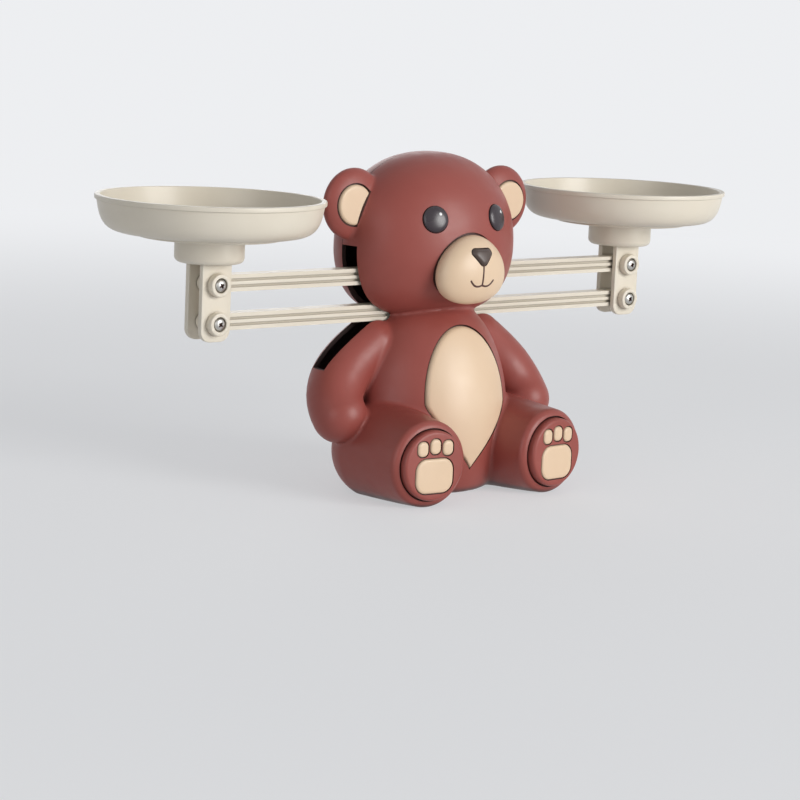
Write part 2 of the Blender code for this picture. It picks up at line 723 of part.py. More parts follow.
def build_feet():
    """Make the soles and their pads."""
    pad_back = PAD_DEPTH - SOLE_RISE
    pad_front = -PAD_RISE - SOLE_RISE
    for word, side in SIDES.items():
        sole = sole_form(word + "_sole_disc", side)
        pockets = toe_pads(word + "_toe_pocket", side, GAP, pad_front, pad_back)
        pockets.append(main_pad(word + "_main_pocket", side, GAP, pad_front, pad_back))
        combine(sole, pockets, "DIFFERENCE")
        finish(sole, word + "_sole", "fur")
        pad = main_pad(word + "_pad", side, 0.0, pad_front, pad_back - GAP)
        finish(pad, word + "_main_pad", "cream")
        toes = toe_pads(word + "_toe", side, 0.0, pad_front, pad_back - GAP)
        for place, toe in zip(("outer", "middle", "inner")[::-side], toes):
            finish(toe, f"{word}_{place}_toe_pad", "cream")


def build_pins_and_screws():
    """Make the pivot pins and the screws that join the shells."""
    for word, z in zip(("upper", "lower"), pivot_heights()):
        pin = cylinder_y(word + "_pin", 0, z, PIN_RADIUS, -PIN_HALF_LENGTH, PIN_HALF_LENGTH, 12)
        finish(pin, word + "_pivot_pin", "steel", (0, 0, z))
    seat = SEAM_Y + SHELL_SCREW_DEPTH + GAP
    names = ["head_screw_left", "head_screw_right", "base_screw_left", "base_screw_right"]
    for name, (x, z) in zip(names, screw_places()):
        screw = make_screw(name + "_form", SHELL_SCREW_RADIUS, SHELL_SCREW_LENGTH - 2 * GAP)
        screw.matrix_world = Matrix.Translation((x, seat, z)) @ Matrix.Rotation(math.pi, 4, "Z")
        finish(to_world(screw), name, "steel", (x, seat, z))


def make_screw(name, radius, length):
    """Make a cross-head screw along Y with its head towards -Y and its seat at y = 0."""
    height = SCREW_HEAD_HEIGHT
    edge = SCREW_HEAD_RADIUS
    profile = [(0.0, height), (0.75 * edge, height), (edge, 0.5 * height),
               (edge, 0.0), (radius, 0.0), (radius, -length), (0.0, -length)]
    screw = turned(name, profile, 10)
    screw.matrix_world = Matrix.Rotation(math.pi / 2, 4, "X")
    to_world(screw)
    long_half, short_half = 0.62 * edge, CROSS_WIDTH / 2
    front, floor = -2 * height, CROSS_DEPTH - height
    cross = [box(name + "_cross_x", (-long_half, front, -short_half), (long_half, floor, short_half)),
             box(name + "_cross_z", (-short_half, front, -long_half), (short_half, floor, long_half))]
    return combine(screw, cross, "DIFFERENCE")


def build_beam(name, z):
    """Make one beam: a round-ended bar, recessed between its flanges, with a rib and a hub."""
    half_height, half_depth = BEAM_HEIGHT / 2, BEAM_DEPTH / 2
    beam = plate(name + "_bar", stadium(2 * ARM, BEAM_HEIGHT, z), -half_depth, half_depth)
    recesses, ribs = [], []
    floor = half_depth - RECESS
    recess_end = ARM - SCREW_HOLE_RADIUS - EYE_WALL
    for side in (-1, 1):
        for face in (-1, 1):
            label = f"{name}_{side}_{face}"
            near, far = sorted((side * HUB_RADIUS / 2, side * recess_end))
            y_low, y_high = sorted((face * floor, face * BEAM_DEPTH))
            low, high = z - half_height + FLANGE, z + half_height - FLANGE
            recesses.append(box(label + "_recess", (near, y_low, low), (far, y_high, high)))
            near, far = sorted((side * RIB_START, side * (ARM - RIB_END_CUT)))
            y_low, y_high = sorted((face * (floor - RECESS / 2), face * (half_depth - GAP / 2)))
            low, high = z - RIB_HEIGHT / 2, z + RIB_HEIGHT / 2
            ribs.append(box(label + "_rib", (near, y_low, low), (far, y_high, high)))
    combine(beam, [join_meshes(name + "_recesses", recesses)], "DIFFERENCE")
    hub_z = z + PIVOT_RISE
    hub = cylinder_y(name + "_hub", 0, hub_z, HUB_RADIUS, -HUB_DEPTH / 2, HUB_DEPTH / 2, 20)
    combine(beam, [join_meshes(name + "_ribs", ribs), hub], "UNION")
    holes = [cylinder_y(name + "_bore", 0, hub_z, BORE_RADIUS, -HUB_DEPTH, HUB_DEPTH, 14)]
    for side in (-1, 1):
        label = f"{name}_hole_{side}"
        holes.append(cylinder_y(label, side * ARM, z, SCREW_HOLE_RADIUS, -BEAM_DEPTH, BEAM_DEPTH, 14))
    combine(beam, holes, "DIFFERENCE")
    return finish(beam, name, "ivory", (0, 0, hub_z))


def build_support(word, side):
    """Make a pan support: a disc with a forked bracket below it and its two pivot screws."""
    x = side * ARM
    centre = (SUPPORT_RADIUS - SUPPORT_ROUND, SUPPORT_BOTTOM + SUPPORT_ROUND)
    bottom_round = arc(centre, SUPPORT_ROUND, 0, -90, 4)
    top_edge = 0.6 * MM
    profile = [(0.0, SUPPORT_TOP), (SUPPORT_RADIUS - top_edge, SUPPORT_TOP),
               (SUPPORT_RADIUS, SUPPORT_TOP - top_edge)] + bottom_round + [(0.0, SUPPORT_BOTTOM)]
    support = turned(word + "_disc", profile, 24)
    support.location.x = x
    to_world(support)
    plate_bottom = LOWER_BEAM_Z - PLATE_BELOW_PIVOT
    plate_top = SUPPORT_BOTTOM + SUPPORT_THICKNESS / 2
    centre = (x, (plate_bottom + plate_top) / 2)
    outline = rounded_rectangle(centre, PLATE_WIDTH, plate_top - plate_bottom, PLATE_CORNER)
    additions = [plate(word + "_front_plate", outline, -PLATE_OUTER_Y, -FORK_HALF_GAP),
                 plate(word + "_rear_plate", outline, FORK_HALF_GAP, PLATE_OUTER_Y)]
    boss_front = -PLATE_OUTER_Y - BOSS_RISE
    holes = []
    for label, z in (("upper", UPPER_BEAM_Z), ("lower", LOWER_BEAM_Z)):
        key = f"{word}_{label}"
        boss_back = -PLATE_OUTER_Y + PLATE_THICKNESS / 2
        additions.append(cylinder_y(key + "_boss", x, z, BOSS_RADIUS, boss_front, boss_back, 20))
        seat = boss_front + SCREW_HEAD_HEIGHT
        holes.append(cylinder_y(key + "_seat", x, z, SCREW_HEAD_RADIUS + GAP, 2 * boss_front, seat))
        holes.append(cylinder_y(key + "_hole", x, z, SCREW_HOLE_RADIUS, boss_front, 2 * PLATE_OUTER_Y, 12))
        length = PLATE_OUTER_Y - seat + GAP
        screw = make_screw(key + "_screw", SCREW_RADIUS, length)
        screw.location = (x, seat - GAP, z)
        to_world(screw)
        finish(screw, key + "_pivot_screw", "steel", (x, 0, z))
    combine(support, additions, "UNION")
    combine(support, holes, "DIFFERENCE")
    return finish(support, word + "_pan_support", "ivory", (x, 0, UPPER_BEAM_Z))


def pan_corner(inset, angles):
    """Return the elliptical corner between the pan's floor and wall, moved in by inset."""
    across = PAN_CORNER_RADIUS - PAN_FLOOR_RADIUS - inset
    down = PAN_CORNER_HEIGHT - PAN_FOOT_HEIGHT - inset
    return [(PAN_FLOOR_RADIUS + across * math.sin(a), PAN_CORNER_HEIGHT - down * math.cos(a))
            for a in (math.radians(d) for d in angles)]


def pan_profile():
    """Return the pan's section from the middle of its floor, over the rim, to the middle below."""
    floor_top = PAN_FOOT_HEIGHT + PAN_WALL
    lip_bottom = PAN_HEIGHT - PAN_LIP_HEIGHT
    wall_top = PAN_RADIUS - PAN_LIP
    inner_corner = pan_corner(PAN_WALL, (0, 45, 90))
    outer_corner = pan_corner(0.0, (90, 45, 0))
    edge = 0.5 * MM
    rim = [(wall_top - PAN_WALL, PAN_HEIGHT),
           (PAN_RADIUS - edge, PAN_HEIGHT), (PAN_RADIUS, PAN_HEIGHT - edge),
           (PAN_RADIUS, lip_bottom + edge), (wall_top, lip_bottom)]
    socket = SUPPORT_RADIUS + GAP + GAP / 3
    rings = []
    for outer in (PAN_FOOT_RADIUS, socket + PAN_RING_WALL):
        inner = outer - PAN_RING_WALL
        rings += [(outer, PAN_FOOT_HEIGHT), (outer, 0.0), (inner, 0.0), (inner, PAN_FOOT_HEIGHT)]
    profile = [(0.0, floor_top)] + inner_corner + rim + outer_corner + rings + [(0.0, PAN_FOOT_HEIGHT)]
    return [(r, z + PAN_BOTTOM) for r, z in profile]


def build_pan(word, side):
    pan = turned(word + "_bowl", pan_profile(), 32)
    pan.location.x = side * ARM
    to_world(pan)
    return finish(pan, word + "_pan", "ivory", (side * ARM, 0, PAN_BOTTOM))


def hang_on_hinges():
    """Parent the moving pieces to empties on the axes they turn about."""
    hinges = {
        "upper_beam_hinge": ((0, 0, UPPER_BEAM_Z + PIVOT_RISE), ["upper_beam"]),
        "lower_beam_hinge": ((0, 0, LOWER_BEAM_Z + PIVOT_RISE), ["lower_beam"]),
    }
    for word, side in SIDES.items():
        pieces = ("pan_support", "upper_pivot_screw", "lower_pivot_screw", "pan")
        names = [f"{word}_{piece}" for piece in pieces]
        hinges[word + "_support_hinge"] = ((side * ARM, 0, UPPER_BEAM_Z), names)
    for name, (place, pieces) in hinges.items():
        hinge = bpy.data.objects.new(name, None)
        hinge.empty_display_size = 10 * MM
        hinge.location = place
        PARTS.objects.link(hinge)
        bpy.context.view_layer.update()
        for piece in pieces:
            child = bpy.data.objects[piece]
            child.parent = hinge
            child.matrix_parent_inverse = hinge.matrix_world.inverted()


build_shells()
build_face()
build_ear_linings()
build_belly()
build_feet()
build_pins_and_screws()
build_beam("upper_beam", UPPER_BEAM_Z)
build_beam("lower_beam", LOWER_BEAM_Z)
for side_word, side_sign in SIDES.items():
    build_support(side_word, side_sign)
    build_pan(side_word, side_sign)
hang_on_hinges()
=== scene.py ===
"""Looks of the toy balance scale: a seated bear with two beams through its body and a pan on each end.

Lengths below are in millimetres, in the part's frame: origin on the base under the pivots, +X along the
beams, the bear faces -Y, +Z up. Meshes are written in metres.
"""
import math

import bmesh
import bpy
import numpy as np
from mathutils import Matrix, Vector


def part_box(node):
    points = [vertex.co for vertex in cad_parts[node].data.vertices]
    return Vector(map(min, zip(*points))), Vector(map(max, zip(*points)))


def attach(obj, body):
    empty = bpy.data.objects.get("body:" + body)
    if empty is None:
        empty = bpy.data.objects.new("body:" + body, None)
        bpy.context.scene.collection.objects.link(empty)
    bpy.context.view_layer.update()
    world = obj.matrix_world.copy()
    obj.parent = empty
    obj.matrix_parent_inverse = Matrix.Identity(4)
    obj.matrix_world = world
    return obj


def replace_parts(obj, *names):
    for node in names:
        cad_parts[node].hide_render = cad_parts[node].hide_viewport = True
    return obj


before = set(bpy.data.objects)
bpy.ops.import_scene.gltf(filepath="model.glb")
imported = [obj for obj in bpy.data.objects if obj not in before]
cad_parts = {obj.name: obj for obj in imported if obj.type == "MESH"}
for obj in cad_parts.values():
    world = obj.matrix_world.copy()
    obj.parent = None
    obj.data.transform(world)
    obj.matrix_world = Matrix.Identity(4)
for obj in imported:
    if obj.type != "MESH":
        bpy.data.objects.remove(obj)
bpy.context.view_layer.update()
MM = 0.001
SIDES = {"left": -1, "right": 1}
GRAIN_DEPTH = 0.2

# Shells of the bear
WALL = 2.4
SEAM = 5.6
SEAM_GAP = 0.3
SLOT_ABOVE_BEAM = 16.5
SLOT_BELOW_BEAM = 29.0
HEAD_SCREW = (24.0, 150.5)
BASE_SCREW = (14.0, 26.0)
SHELL_SCREW = 1.4
WELL_RADIUS = 3.8
WELL_FLOOR = SEAM + 6.0
POST_RADIUS = 6.5
PIN_POST_RADIUS = 5.0
FAR = 200.0

# Head, with the widths measured from its widest height
HEAD_Y = 3.0
HEAD_Z = 130.5
HEAD_WIDTH = 55.0
HEAD_DEPTH = 39.0
HEAD_UP = 51.0
HEAD_DOWN = 39.0
HEAD_FULLNESS = 2.2
CHEEKS = 0.3
EAR_CENTRE = np.array((51.8, 2.0, 154.0))
EAR_SEMI = np.array((19.3, 7.0, 19.3))
EAR_LINING_X = 54.3
EAR_LINING_RADIUS = 10.8
EAR_POCKET_FLOOR = -2.4
MUZZLE_CENTRE = np.array((0.0, -36.2, 121.4))
MUZZLE_SEMI = np.array((22.2, 11.0, 18.6))
MUZZLE_TAPER = 0.15
MUZZLE_JOWL = 0.12
EYE_X = 21.5
EYE_Z = 148.3
EYE_RADIUS = 7.1
EYE_HEIGHT = 2.0
NOSE_MIDDLE = (0.0, 130.5)

# Torso and limbs
TORSO_RADIUS = 49.0
TORSO_DEPTH = 0.93
TORSO_BASE = 38.0
TORSO_WIDEST = 36.0
TORSO_TOP = 105.0
TORSO_CUT = 102.0
SHOULDER = np.array((37.0, 1.0, 78.5))
ELBOW = np.array((59.0, -1.0, 60.0))
HAND = np.array((65.5, -11.5, 43.0))
ARM_RADII = (15.0, 15.5, 14.8)
FOOT = np.array((43.0, -61.5, 23.2))
SPLAY = math.radians(5.0)
LEG_END = 23.2
LEG_ROUND = 3.6
THIGH = 27.0
THIGH_BACK = 46.0

# Inserts
GROOVE = 0.9
INSERT_RISE = 0.7
BELLY_MIDDLE = (0.0, 52.0)
IN_FRONT = -70.0
SOLE_POCKET = 2.4
SOLE_RISE = 4.0

# Fillets where the bear's forms meet
NECK_FILLET = 2.8
EAR_FILLET = 1.8
LIMB_FILLET = 2.4

# Balance
ARM = 145.0
UPPER_Z = 115.7
LOWER_Z = 95.8
LEVELS = (("upper", UPPER_Z), ("lower", LOWER_Z))
PIVOT_RISE = 1.5
PIN_BORE = 2.3
SCREW_HOLE = 2.1
BEAM_HEIGHT = 8.8
BEAM_DEPTH = 8.0
FLANGE = 2.0
RECESS = 1.5
RIB_HEIGHT = 1.7
EYE_WALL = 2.6
HUB_RADIUS = 7.5
HUB_DEPTH = 10.4
SUPPORT_RADIUS = 18.0
SUPPORT_BOTTOM = 126.5
SUPPORT_TOP = 141.2
PLATE_WIDTH = 18.0
PLATE_BOTTOM = 86.25
PLATE_TOP = 133.85
PLATE_CORNER = 6.0
PLATE_INNER = 4.6
PLATE_OUTER = 7.6
BOSS_RADIUS = 6.0
BOSS_FACE = 11.8
SEAT_RADIUS = 3.8
SEAT_FACE = 9.6
PAN_LIP_RADIUS = 59.0


# Materials

def new_material(name):
    """Start a material and return it with its node tree and its Principled shader."""
    material = bpy.data.materials.new(name)
    material.use_nodes = True
    tree = material.node_tree
    return material, tree, tree.nodes["Principled BSDF"]


def noise(tree, coords, scale, detail, roughness=0.55):
    node = tree.nodes.new("ShaderNodeTexNoise")
    node.inputs["Scale"].default_value = scale
    node.inputs["Detail"].default_value = detail
    node.inputs["Roughness"].default_value = roughness
    tree.links.new(coords, node.inputs["Vector"])
    return node.outputs["Fac"]


def spread(tree, value, low, high, first=0.3, last=0.7):
    """Map a value from one range, a noise's middle if none is given, onto another."""
    node = tree.nodes.new("ShaderNodeMapRange")
    node.inputs["From Min"].default_value = first
    node.inputs["From Max"].default_value = last
    node.inputs["To Min"].default_value = low
    node.inputs["To Max"].default_value = high
    tree.links.new(value, node.inputs["Value"])
    return node.outputs["Result"]


def mix_colour(tree, factor, first, second):
    node = tree.nodes.new("ShaderNodeMix")
    node.data_type = "RGBA"
    tree.links.new(factor, node.inputs["Factor"])
    for socket, value in (("A", first), ("B", second)):
        target = [s for s in node.inputs if s.name == socket and s.type == "RGBA"][0]
        if isinstance(value, tuple):
            target.default_value = (*value, 1.0)
        else:
            tree.links.new(value, target)
    return [s for s in node.outputs if s.type == "RGBA"][0]


def plastic(name, colour, tint, roughness, grain, grain_scale, coat=0.0, specular=0.5, edge=None,
            crease=None):
    """Make a moulded plastic: slow tint, uneven gloss, fine grain, worn edges and painted shade in its
    creases.
    """
    material, tree, shader = new_material(name)
    coords = tree.nodes.new("ShaderNodeTexCoord").outputs["Object"]
    slow = noise(tree, coords, 28.0, 3.0)
    base = mix_colour(tree, spread(tree, slow, 0.0, 1.0), colour, tint)
    # Painted shade: where ambient occlusion finds the surface closed in, the colour darkens towards the shade
    # colour in creases and recesses.
    if crease is not None:
        shade, reach = crease
        closed = tree.nodes.new("ShaderNodeAmbientOcclusion")
        closed.samples = 8
        closed.inputs["Distance"].default_value = reach * MM
        base = mix_colour(tree, spread(tree, closed.outputs["AO"], 0.85, 0.0, 0.25, 0.8), base, shade)
    if edge is not None:
        corners = tree.nodes.new("ShaderNodeNewGeometry").outputs["Pointiness"]
        base = mix_colour(tree, spread(tree, corners, 0.0, 0.45, 0.53, 0.62), base, edge)
    tree.links.new(base, shader.inputs["Base Color"])
    gloss = noise(tree, coords, 140.0, 5.0)
    tree.links.new(spread(tree, gloss, roughness - 0.05, roughness + 0.06), shader.inputs["Roughness"])
    shader.inputs["Specular IOR Level"].default_value = specular
    shader.inputs["Coat Weight"].default_value = coat
    shader.inputs["Coat Roughness"].default_value = 0.25
    fine = noise(tree, coords, grain_scale, 3.0, 0.6)
    bump = tree.nodes.new("ShaderNodeBump")
    bump.inputs["Strength"].default_value = grain
    bump.inputs["Distance"].default_value = GRAIN_DEPTH * MM
    tree.links.new(fine, bump.inputs["Height"])
    tree.links.new(bump.outputs["Normal"], shader.inputs["Normal"])
    return material


def steel(name):
    """Make zinc-plated steel with fine turned streaks."""
    material, tree, shader = new_material(name)
    coords = tree.nodes.new("ShaderNodeTexCoord").outputs["Object"]
    streaks = tree.nodes.new("ShaderNodeMapping")
    streaks.inputs["Scale"].default_value = (1.0, 0.06, 1.0)
    tree.links.new(coords, streaks.inputs["Vector"])
    fine = noise(tree, streaks.outputs["Vector"], 2600.0, 4.0)
    cloud = noise(tree, coords, 700.0, 3.0)
    base = mix_colour(tree, cloud, (0.42, 0.41, 0.39), (0.62, 0.61, 0.58))
    tree.links.new(base, shader.inputs["Base Color"])
    tree.links.new(spread(tree, fine, 0.22, 0.42), shader.inputs["Roughness"])
    shader.inputs["Metallic"].default_value = 1.0
    return material


# The crease entries of the brown and the ivory below are painted shade in their creases and recesses.
FUR = plastic("bear_brown", (0.290, 0.066, 0.053), (0.322, 0.078, 0.063), 0.42, 0.10, 1500.0, 0.04, 0.36,
              edge=(0.40, 0.14, 0.115), crease=((0.060, 0.018, 0.015), 5.0))
# Dark brown: the printed mouth lines and the outline round the inserts, together with painted shade on the
# groove walls and in the screws' cross recesses.
OUTLINE_AND_SHADE = plastic("outline_and_groove_shade", (0.060, 0.020, 0.016), (0.080, 0.027, 0.021), 0.6, 0.1, 1500.0)
CREAM = plastic("cream", (0.765, 0.567, 0.388), (0.795, 0.602, 0.423), 0.42, 0.08, 1700.0, 0.05)
NOSE = plastic("nose_brown", (0.055, 0.036, 0.030), (0.080, 0.052, 0.042), 0.38, 0.3, 1100.0)
IVORY = plastic("ivory", (0.745, 0.68, 0.565), (0.78, 0.72, 0.61), 0.36, 0.07, 900.0, 0.05,
                edge=(0.80, 0.755, 0.66), crease=((0.30, 0.255, 0.19), 2.5))
EYE = plastic("eye_black", (0.022, 0.014, 0.019), (0.032, 0.021, 0.028), 0.27, 0.02, 900.0, 0.1)
# Near-black brown for the hollow and the faces cut by the slot and the seam: painted shade where the inside
# lies in shadow.
HOLLOW_SHADE = plastic("hollow_painted_shade", (0.022, 0.008, 0.007), (0.030, 0.011, 0.009), 0.7, 0.1, 1500.0)
# White for the small dot on each eye: a painted highlight.
PAINTED_GLINT = plastic("painted_eye_glint", (0.88, 0.88, 0.88), (0.92, 0.92, 0.92), 0.25, 0.02, 900.0)
STEEL = steel("zinc_steel")


# Mesh helpers

def build(name, points, faces, material):
    """Make an object from points in millimetres, with its faces turned outwards and shaded smooth."""
    mesh = bpy.data.meshes.new(name)
    mesh.from_pydata([tuple(p) for p in np.asarray(points, float) * MM], [], faces)
    bm = bmesh.new()
    bm.from_mesh(mesh)
    bmesh.ops.remove_doubles(bm, verts=bm.verts, dist=0.002 * MM)
    bmesh.ops.recalc_face_normals(bm, faces=bm.faces)
    bm.to_mesh(mesh)
    bm.free()
    obj = bpy.data.objects.new(name, mesh)
    bpy.context.scene.collection.objects.link(obj)
    mesh.shade_smooth()
    if material is not None:
        mesh.materials.append(material)
    return obj


def positions(obj):
    co = np.empty(len(obj.data.vertices) * 3, np.float32)
    obj.data.vertices.foreach_get("co", co)
    return co.reshape(-1, 3).astype(float) / MM


def set_positions(obj, points):
    obj.data.vertices.foreach_set("co", (points * MM).astype(np.float32).ravel())
    obj.data.update()


def apply_modifiers(obj):
    """Replace an object's mesh by its evaluated one."""
    bpy.context.view_layer.update()
    graph = bpy.context.evaluated_depsgraph_get()
    mesh = bpy.data.meshes.new_from_object(obj.evaluated_get(graph))
    obj.modifiers.clear()
    old = obj.data
    obj.data = mesh
    bpy.data.meshes.remove(old)
    return obj


def drop(objects):
    for obj in objects:
        bpy.data.objects.remove(obj, do_unlink=True)


def merge(name, objects):
    """Put several closed meshes into one object."""
    bm = bmesh.new()
    for obj in objects:
        bm.from_mesh(obj.data)
    mesh = bpy.data.meshes.new(name)
    bm.to_mesh(mesh)
    bm.free()
    obj = bpy.data.objects.new(name, mesh)
    bpy.context.scene.collection.objects.link(obj)
    for material in objects[0].data.materials:
        mesh.materials.append(material)
    drop(objects)
    return obj


def carve(target, others, operation="DIFFERENCE"):
    """Cut forms from the target or join them to it; the cut faces keep the cutter's material."""
    for other in others:
        modifier = target.modifiers.new("carve", "BOOLEAN")
        modifier.operation = operation
        modifier.solver = "MANIFOLD"
        modifier.object = other
        modifier.material_mode = "TRANSFER"
    apply_modifiers(target)
    drop(others)
    return target


def sharpen(obj, degrees):
    obj.data.shade_smooth()
    obj.data.set_sharp_from_angle(angle=math.radians(degrees))
    return obj


def strips(rings, count, first=0):
    """Return the quads that join closed rings of points, from the ring with number first on."""
    faces = []
    for i in range(first, first + rings - 1):
        for j in range(count):
            k = (j + 1) % count
            faces.append((i * count + j, i * count + k, (i + 1) * count + k, (i + 1) * count + j))
    return faces


def turned(name, profile, steps, material, centre=(0.0, 0.0, 0.0), axis="Z"):
    """Turn a profile of (radius, height) points, from axis to axis, about a line through the centre."""
    profile = np.asarray(profile, float)
    angles = np.arange(steps) * math.tau / steps
    points = []
    for radius, height in profile:
        ring = np.stack((radius * np.cos(angles), radius * np.sin(angles), np.full(steps, height)), axis=1)
        points.append(ring)
    points = np.concatenate(points)
    if axis == "Y":
        points = np.stack((points[:, 0], -points[:, 2], points[:, 1]), axis=1)
    points = points + np.asarray(centre, float)
    return build(name, points, strips(len(profile), steps), material)


def filleted(corners, count):
    """Round the corners of an open polyline of (x, y, radius) points."""
    line = [np.array(corners[0][:2], float)]
    for before, corner, after in zip(corners, corners[1:], corners[2:]):
        here = np.array(corner[:2], float)
        to_before = np.array(before[:2], float) - here
        to_after = np.array(after[:2], float) - here
        radius = corner[2] if len(corner) > 2 else 0.0
        if radius <= 0:
            line.append(here)
            continue
        u, v = to_before / np.linalg.norm(to_before), to_after / np.linalg.norm(to_after)
        half = math.acos(max(-1.0, min(1.0, float(u @ v)))) / 2
        reach = radius / math.tan(half)
        centre = here + (u + v) / np.linalg.norm(u + v) * radius / math.sin(half)
        start, end = here + u * reach - centre, here + v * reach - centre
        first, last = math.atan2(start[1], start[0]), math.atan2(end[1], end[0])
        sweep = (last - first + math.pi) % math.tau - math.pi
        for i in range(count + 1):
            a = first + sweep * i / count
            line.append(centre + radius * np.array((math.cos(a), math.sin(a))))
    line.append(np.array(corners[-1][:2], float))
    return line


def bezier(p0, p1, p2, p3, count):
    t = np.linspace(0.0, 1.0, count)[:, None]
    p0, p1, p2, p3 = (np.array(p, float) for p in (p0, p1, p2, p3))
    return (1 - t) ** 3 * p0 + 3 * t * (1 - t) ** 2 * p1 + 3 * t ** 2 * (1 - t) * p2 + t ** 3 * p3


def arc(centre, radius, start, end, count):
    a = np.radians(np.linspace(start, end, count))
    return np.stack((centre[0] + radius * np.cos(a), centre[1] + radius * np.sin(a)), axis=1)


def rounded_rectangle(centre, width, height, corner, count=10):
    x, z = centre
    half_w, half_h = width / 2 - corner, height / 2 - corner
    quarters = ((1, 1, 0), (-1, 1, 90), (-1, -1, 180), (1, -1, 270))
    return np.concatenate([arc((x + sx * half_w, z + sz * half_h), corner, a, a + 90, count)
                           for sx, sz, a in quarters])


def outline_normals(outline):
    """Return the outward normal at each point of a closed counter-clockwise outline."""
    along = np.roll(outline, -1, axis=0) - np.roll(outline, 1, axis=0)
    along /= np.maximum(np.linalg.norm(along, axis=1), 1e-9)[:, None]
    return np.stack((along[:, 1], -along[:, 0]), axis=1)


def slab(name, outline, y_low, y_high, edge, material, steps=4):
    """Make a plate between two Y planes from an XZ outline, with rounded edges."""
    normals = outline_normals(outline)
    quarter = np.radians(np.linspace(0, 90, steps))
    rings = [(edge * (1 - math.sin(a)), y_low + edge * (1 - math.cos(a))) for a in quarter]
    rings += [(edge * (1 - math.cos(a)), y_high - edge * (1 - math.sin(a))) for a in quarter]
    count = len(outline)
    points = []
    for inset, y in rings:
        flat = outline - normals * inset
        points.append(np.stack((flat[:, 0], np.full(count, y), flat[:, 1]), axis=1))
    faces = [tuple(range(count)), tuple(range((len(rings) - 1) * count, len(rings) * count))]
    return build(name, np.concatenate(points), faces + strips(len(rings), count), material)


def pillow(name, outline, centre, depths, front, back, material):
    """Make a closed inlay from an XZ outline.

    depths are the distances of the rings from the edge; front and back give Y from x, z and that distance.
    """
    outline, centre = np.asarray(outline, float), np.asarray(centre, float)
    spokes = outline - centre
    length = np.linalg.norm(spokes, axis=1)
    count = len(outline)
    shares = [np.clip(1 - d / length, 0.0, 1.0) for d in depths]
    inner = min(s.min() for s in shares)
    shares += [np.full(count, inner * k) for k in (0.86, 0.72, 0.58, 0.44, 0.3, 0.16)]
    reach = [(1 - s) * length for s in shares]
    points, faces = [], []
    for surface in (front, back):
        for share, deep in zip(shares, reach):
            flat = centre + spokes * share[:, None]
            y = surface(flat[:, 0], flat[:, 1], deep)
            points.append(np.stack((flat[:, 0], y, flat[:, 1]), axis=1))
    rings = len(shares)
    for first in (0, rings):
        faces += strips(rings, count, first)
        last = (first + rings - 1) * count
        faces.append(tuple(range(last, last + count)))
    for j in range(count):
        k = (j + 1) % count
        faces.append((j, k, rings * count + k, rings * count + j))
    return build(name, np.concatenate(points), faces, material)


def flat_at(y):
    """Return a flat face for an inlay at one Y."""
    return lambda x, z, deep: np.full(len(x), y)


def dome(deep, radius, low, high):
    """Return the height of a surface that rises from low at its edge to high, rounded by a radius."""
    t = 1 - np.clip(deep / radius, 0.0, 1.0)
    return low + (high - low) * np.sqrt(1 - t ** 2)


# The bear's forms

def head_share(z, grow=0.0):
    """Return the head's width at a height as a share of its greatest width."""
    z = np.asarray(z, float)
    height = np.abs(z - HEAD_Z) / (np.where(z > HEAD_Z, HEAD_UP, HEAD_DOWN) + grow)
    return (1 - np.minimum(height, 1.0) ** HEAD_FULLNESS) ** (1 / HEAD_FULLNESS)


def cheeks(z):
    """Return how much wider the head is below its widest height than its even form."""
    return 1 + CHEEKS * np.clip((HEAD_Z - np.asarray(z, float)) / HEAD_DOWN, 0.0, 1.0) ** 3


def head_y(x, z):
    """Return the Y of the head's front at a point seen from the front."""
    across = x / (HEAD_WIDTH * cheeks(z))
    return HEAD_Y - HEAD_DEPTH * np.sqrt(np.maximum(head_share(z) ** 2 - across ** 2, 0.0))


def head_form(name, grow, material, segments=96, rings=48):
    form = ball(name, (0.0, 0.0, 0.0), np.ones(3), material, segments, rings)
    points = positions(form)
    z = HEAD_Z + points[:, 2] * (np.where(points[:, 2] > 0, HEAD_UP, HEAD_DOWN) + grow)
    widen = head_share(z, grow) / np.maximum(np.hypot(points[:, 0], points[:, 1]), 0.001)
    x = points[:, 0] * widen * cheeks(z) * (HEAD_WIDTH + grow)
    y = HEAD_Y + points[:, 1] * widen * (HEAD_DEPTH + grow)
    set_positions(form, np.stack((x, y, z), axis=1))
    return form


def head_distance(p):
    x, y, z = p[:, 0] / cheeks(p[:, 2]), p[:, 1] - HEAD_Y, p[:, 2] - HEAD_Z
    reach = np.where(z > 0, HEAD_UP, HEAD_DOWN)
    u = np.maximum(np.hypot(x / HEAD_WIDTH, y / HEAD_DEPTH), 1e-6)
    t = np.abs(z) / reach
    k = (u ** HEAD_FULLNESS + t ** HEAD_FULLNESS) ** (1 / HEAD_FULLNESS)
    across = (u / k) ** (HEAD_FULLNESS - 1) * np.hypot(x / HEAD_WIDTH ** 2, y / HEAD_DEPTH ** 2) / u
    return (k - 1) / np.maximum(np.hypot(across, (t / k) ** (HEAD_FULLNESS - 1) / reach), 1e-9)


def torso_radius(z):
    z = np.asarray(z, float)
    low = np.clip((TORSO_WIDEST - z) / TORSO_WIDEST, 0.0, 1.0)
    high = np.clip((z - TORSO_WIDEST) / (TORSO_TOP - TORSO_WIDEST), 0.0, 0.995)
    below = TORSO_BASE + (TORSO_RADIUS - TORSO_BASE) * np.sqrt(1 - low ** 2)
    above = TORSO_RADIUS * (1 - high ** 2) ** 0.425
    return np.where(z < TORSO_WIDEST, below, above)


def torso_y(x, z):
    """Return the Y of the torso's front at a point seen from the front."""
    return -TORSO_DEPTH * np.sqrt(np.maximum(torso_radius(z) ** 2 - x ** 2, 0.0))


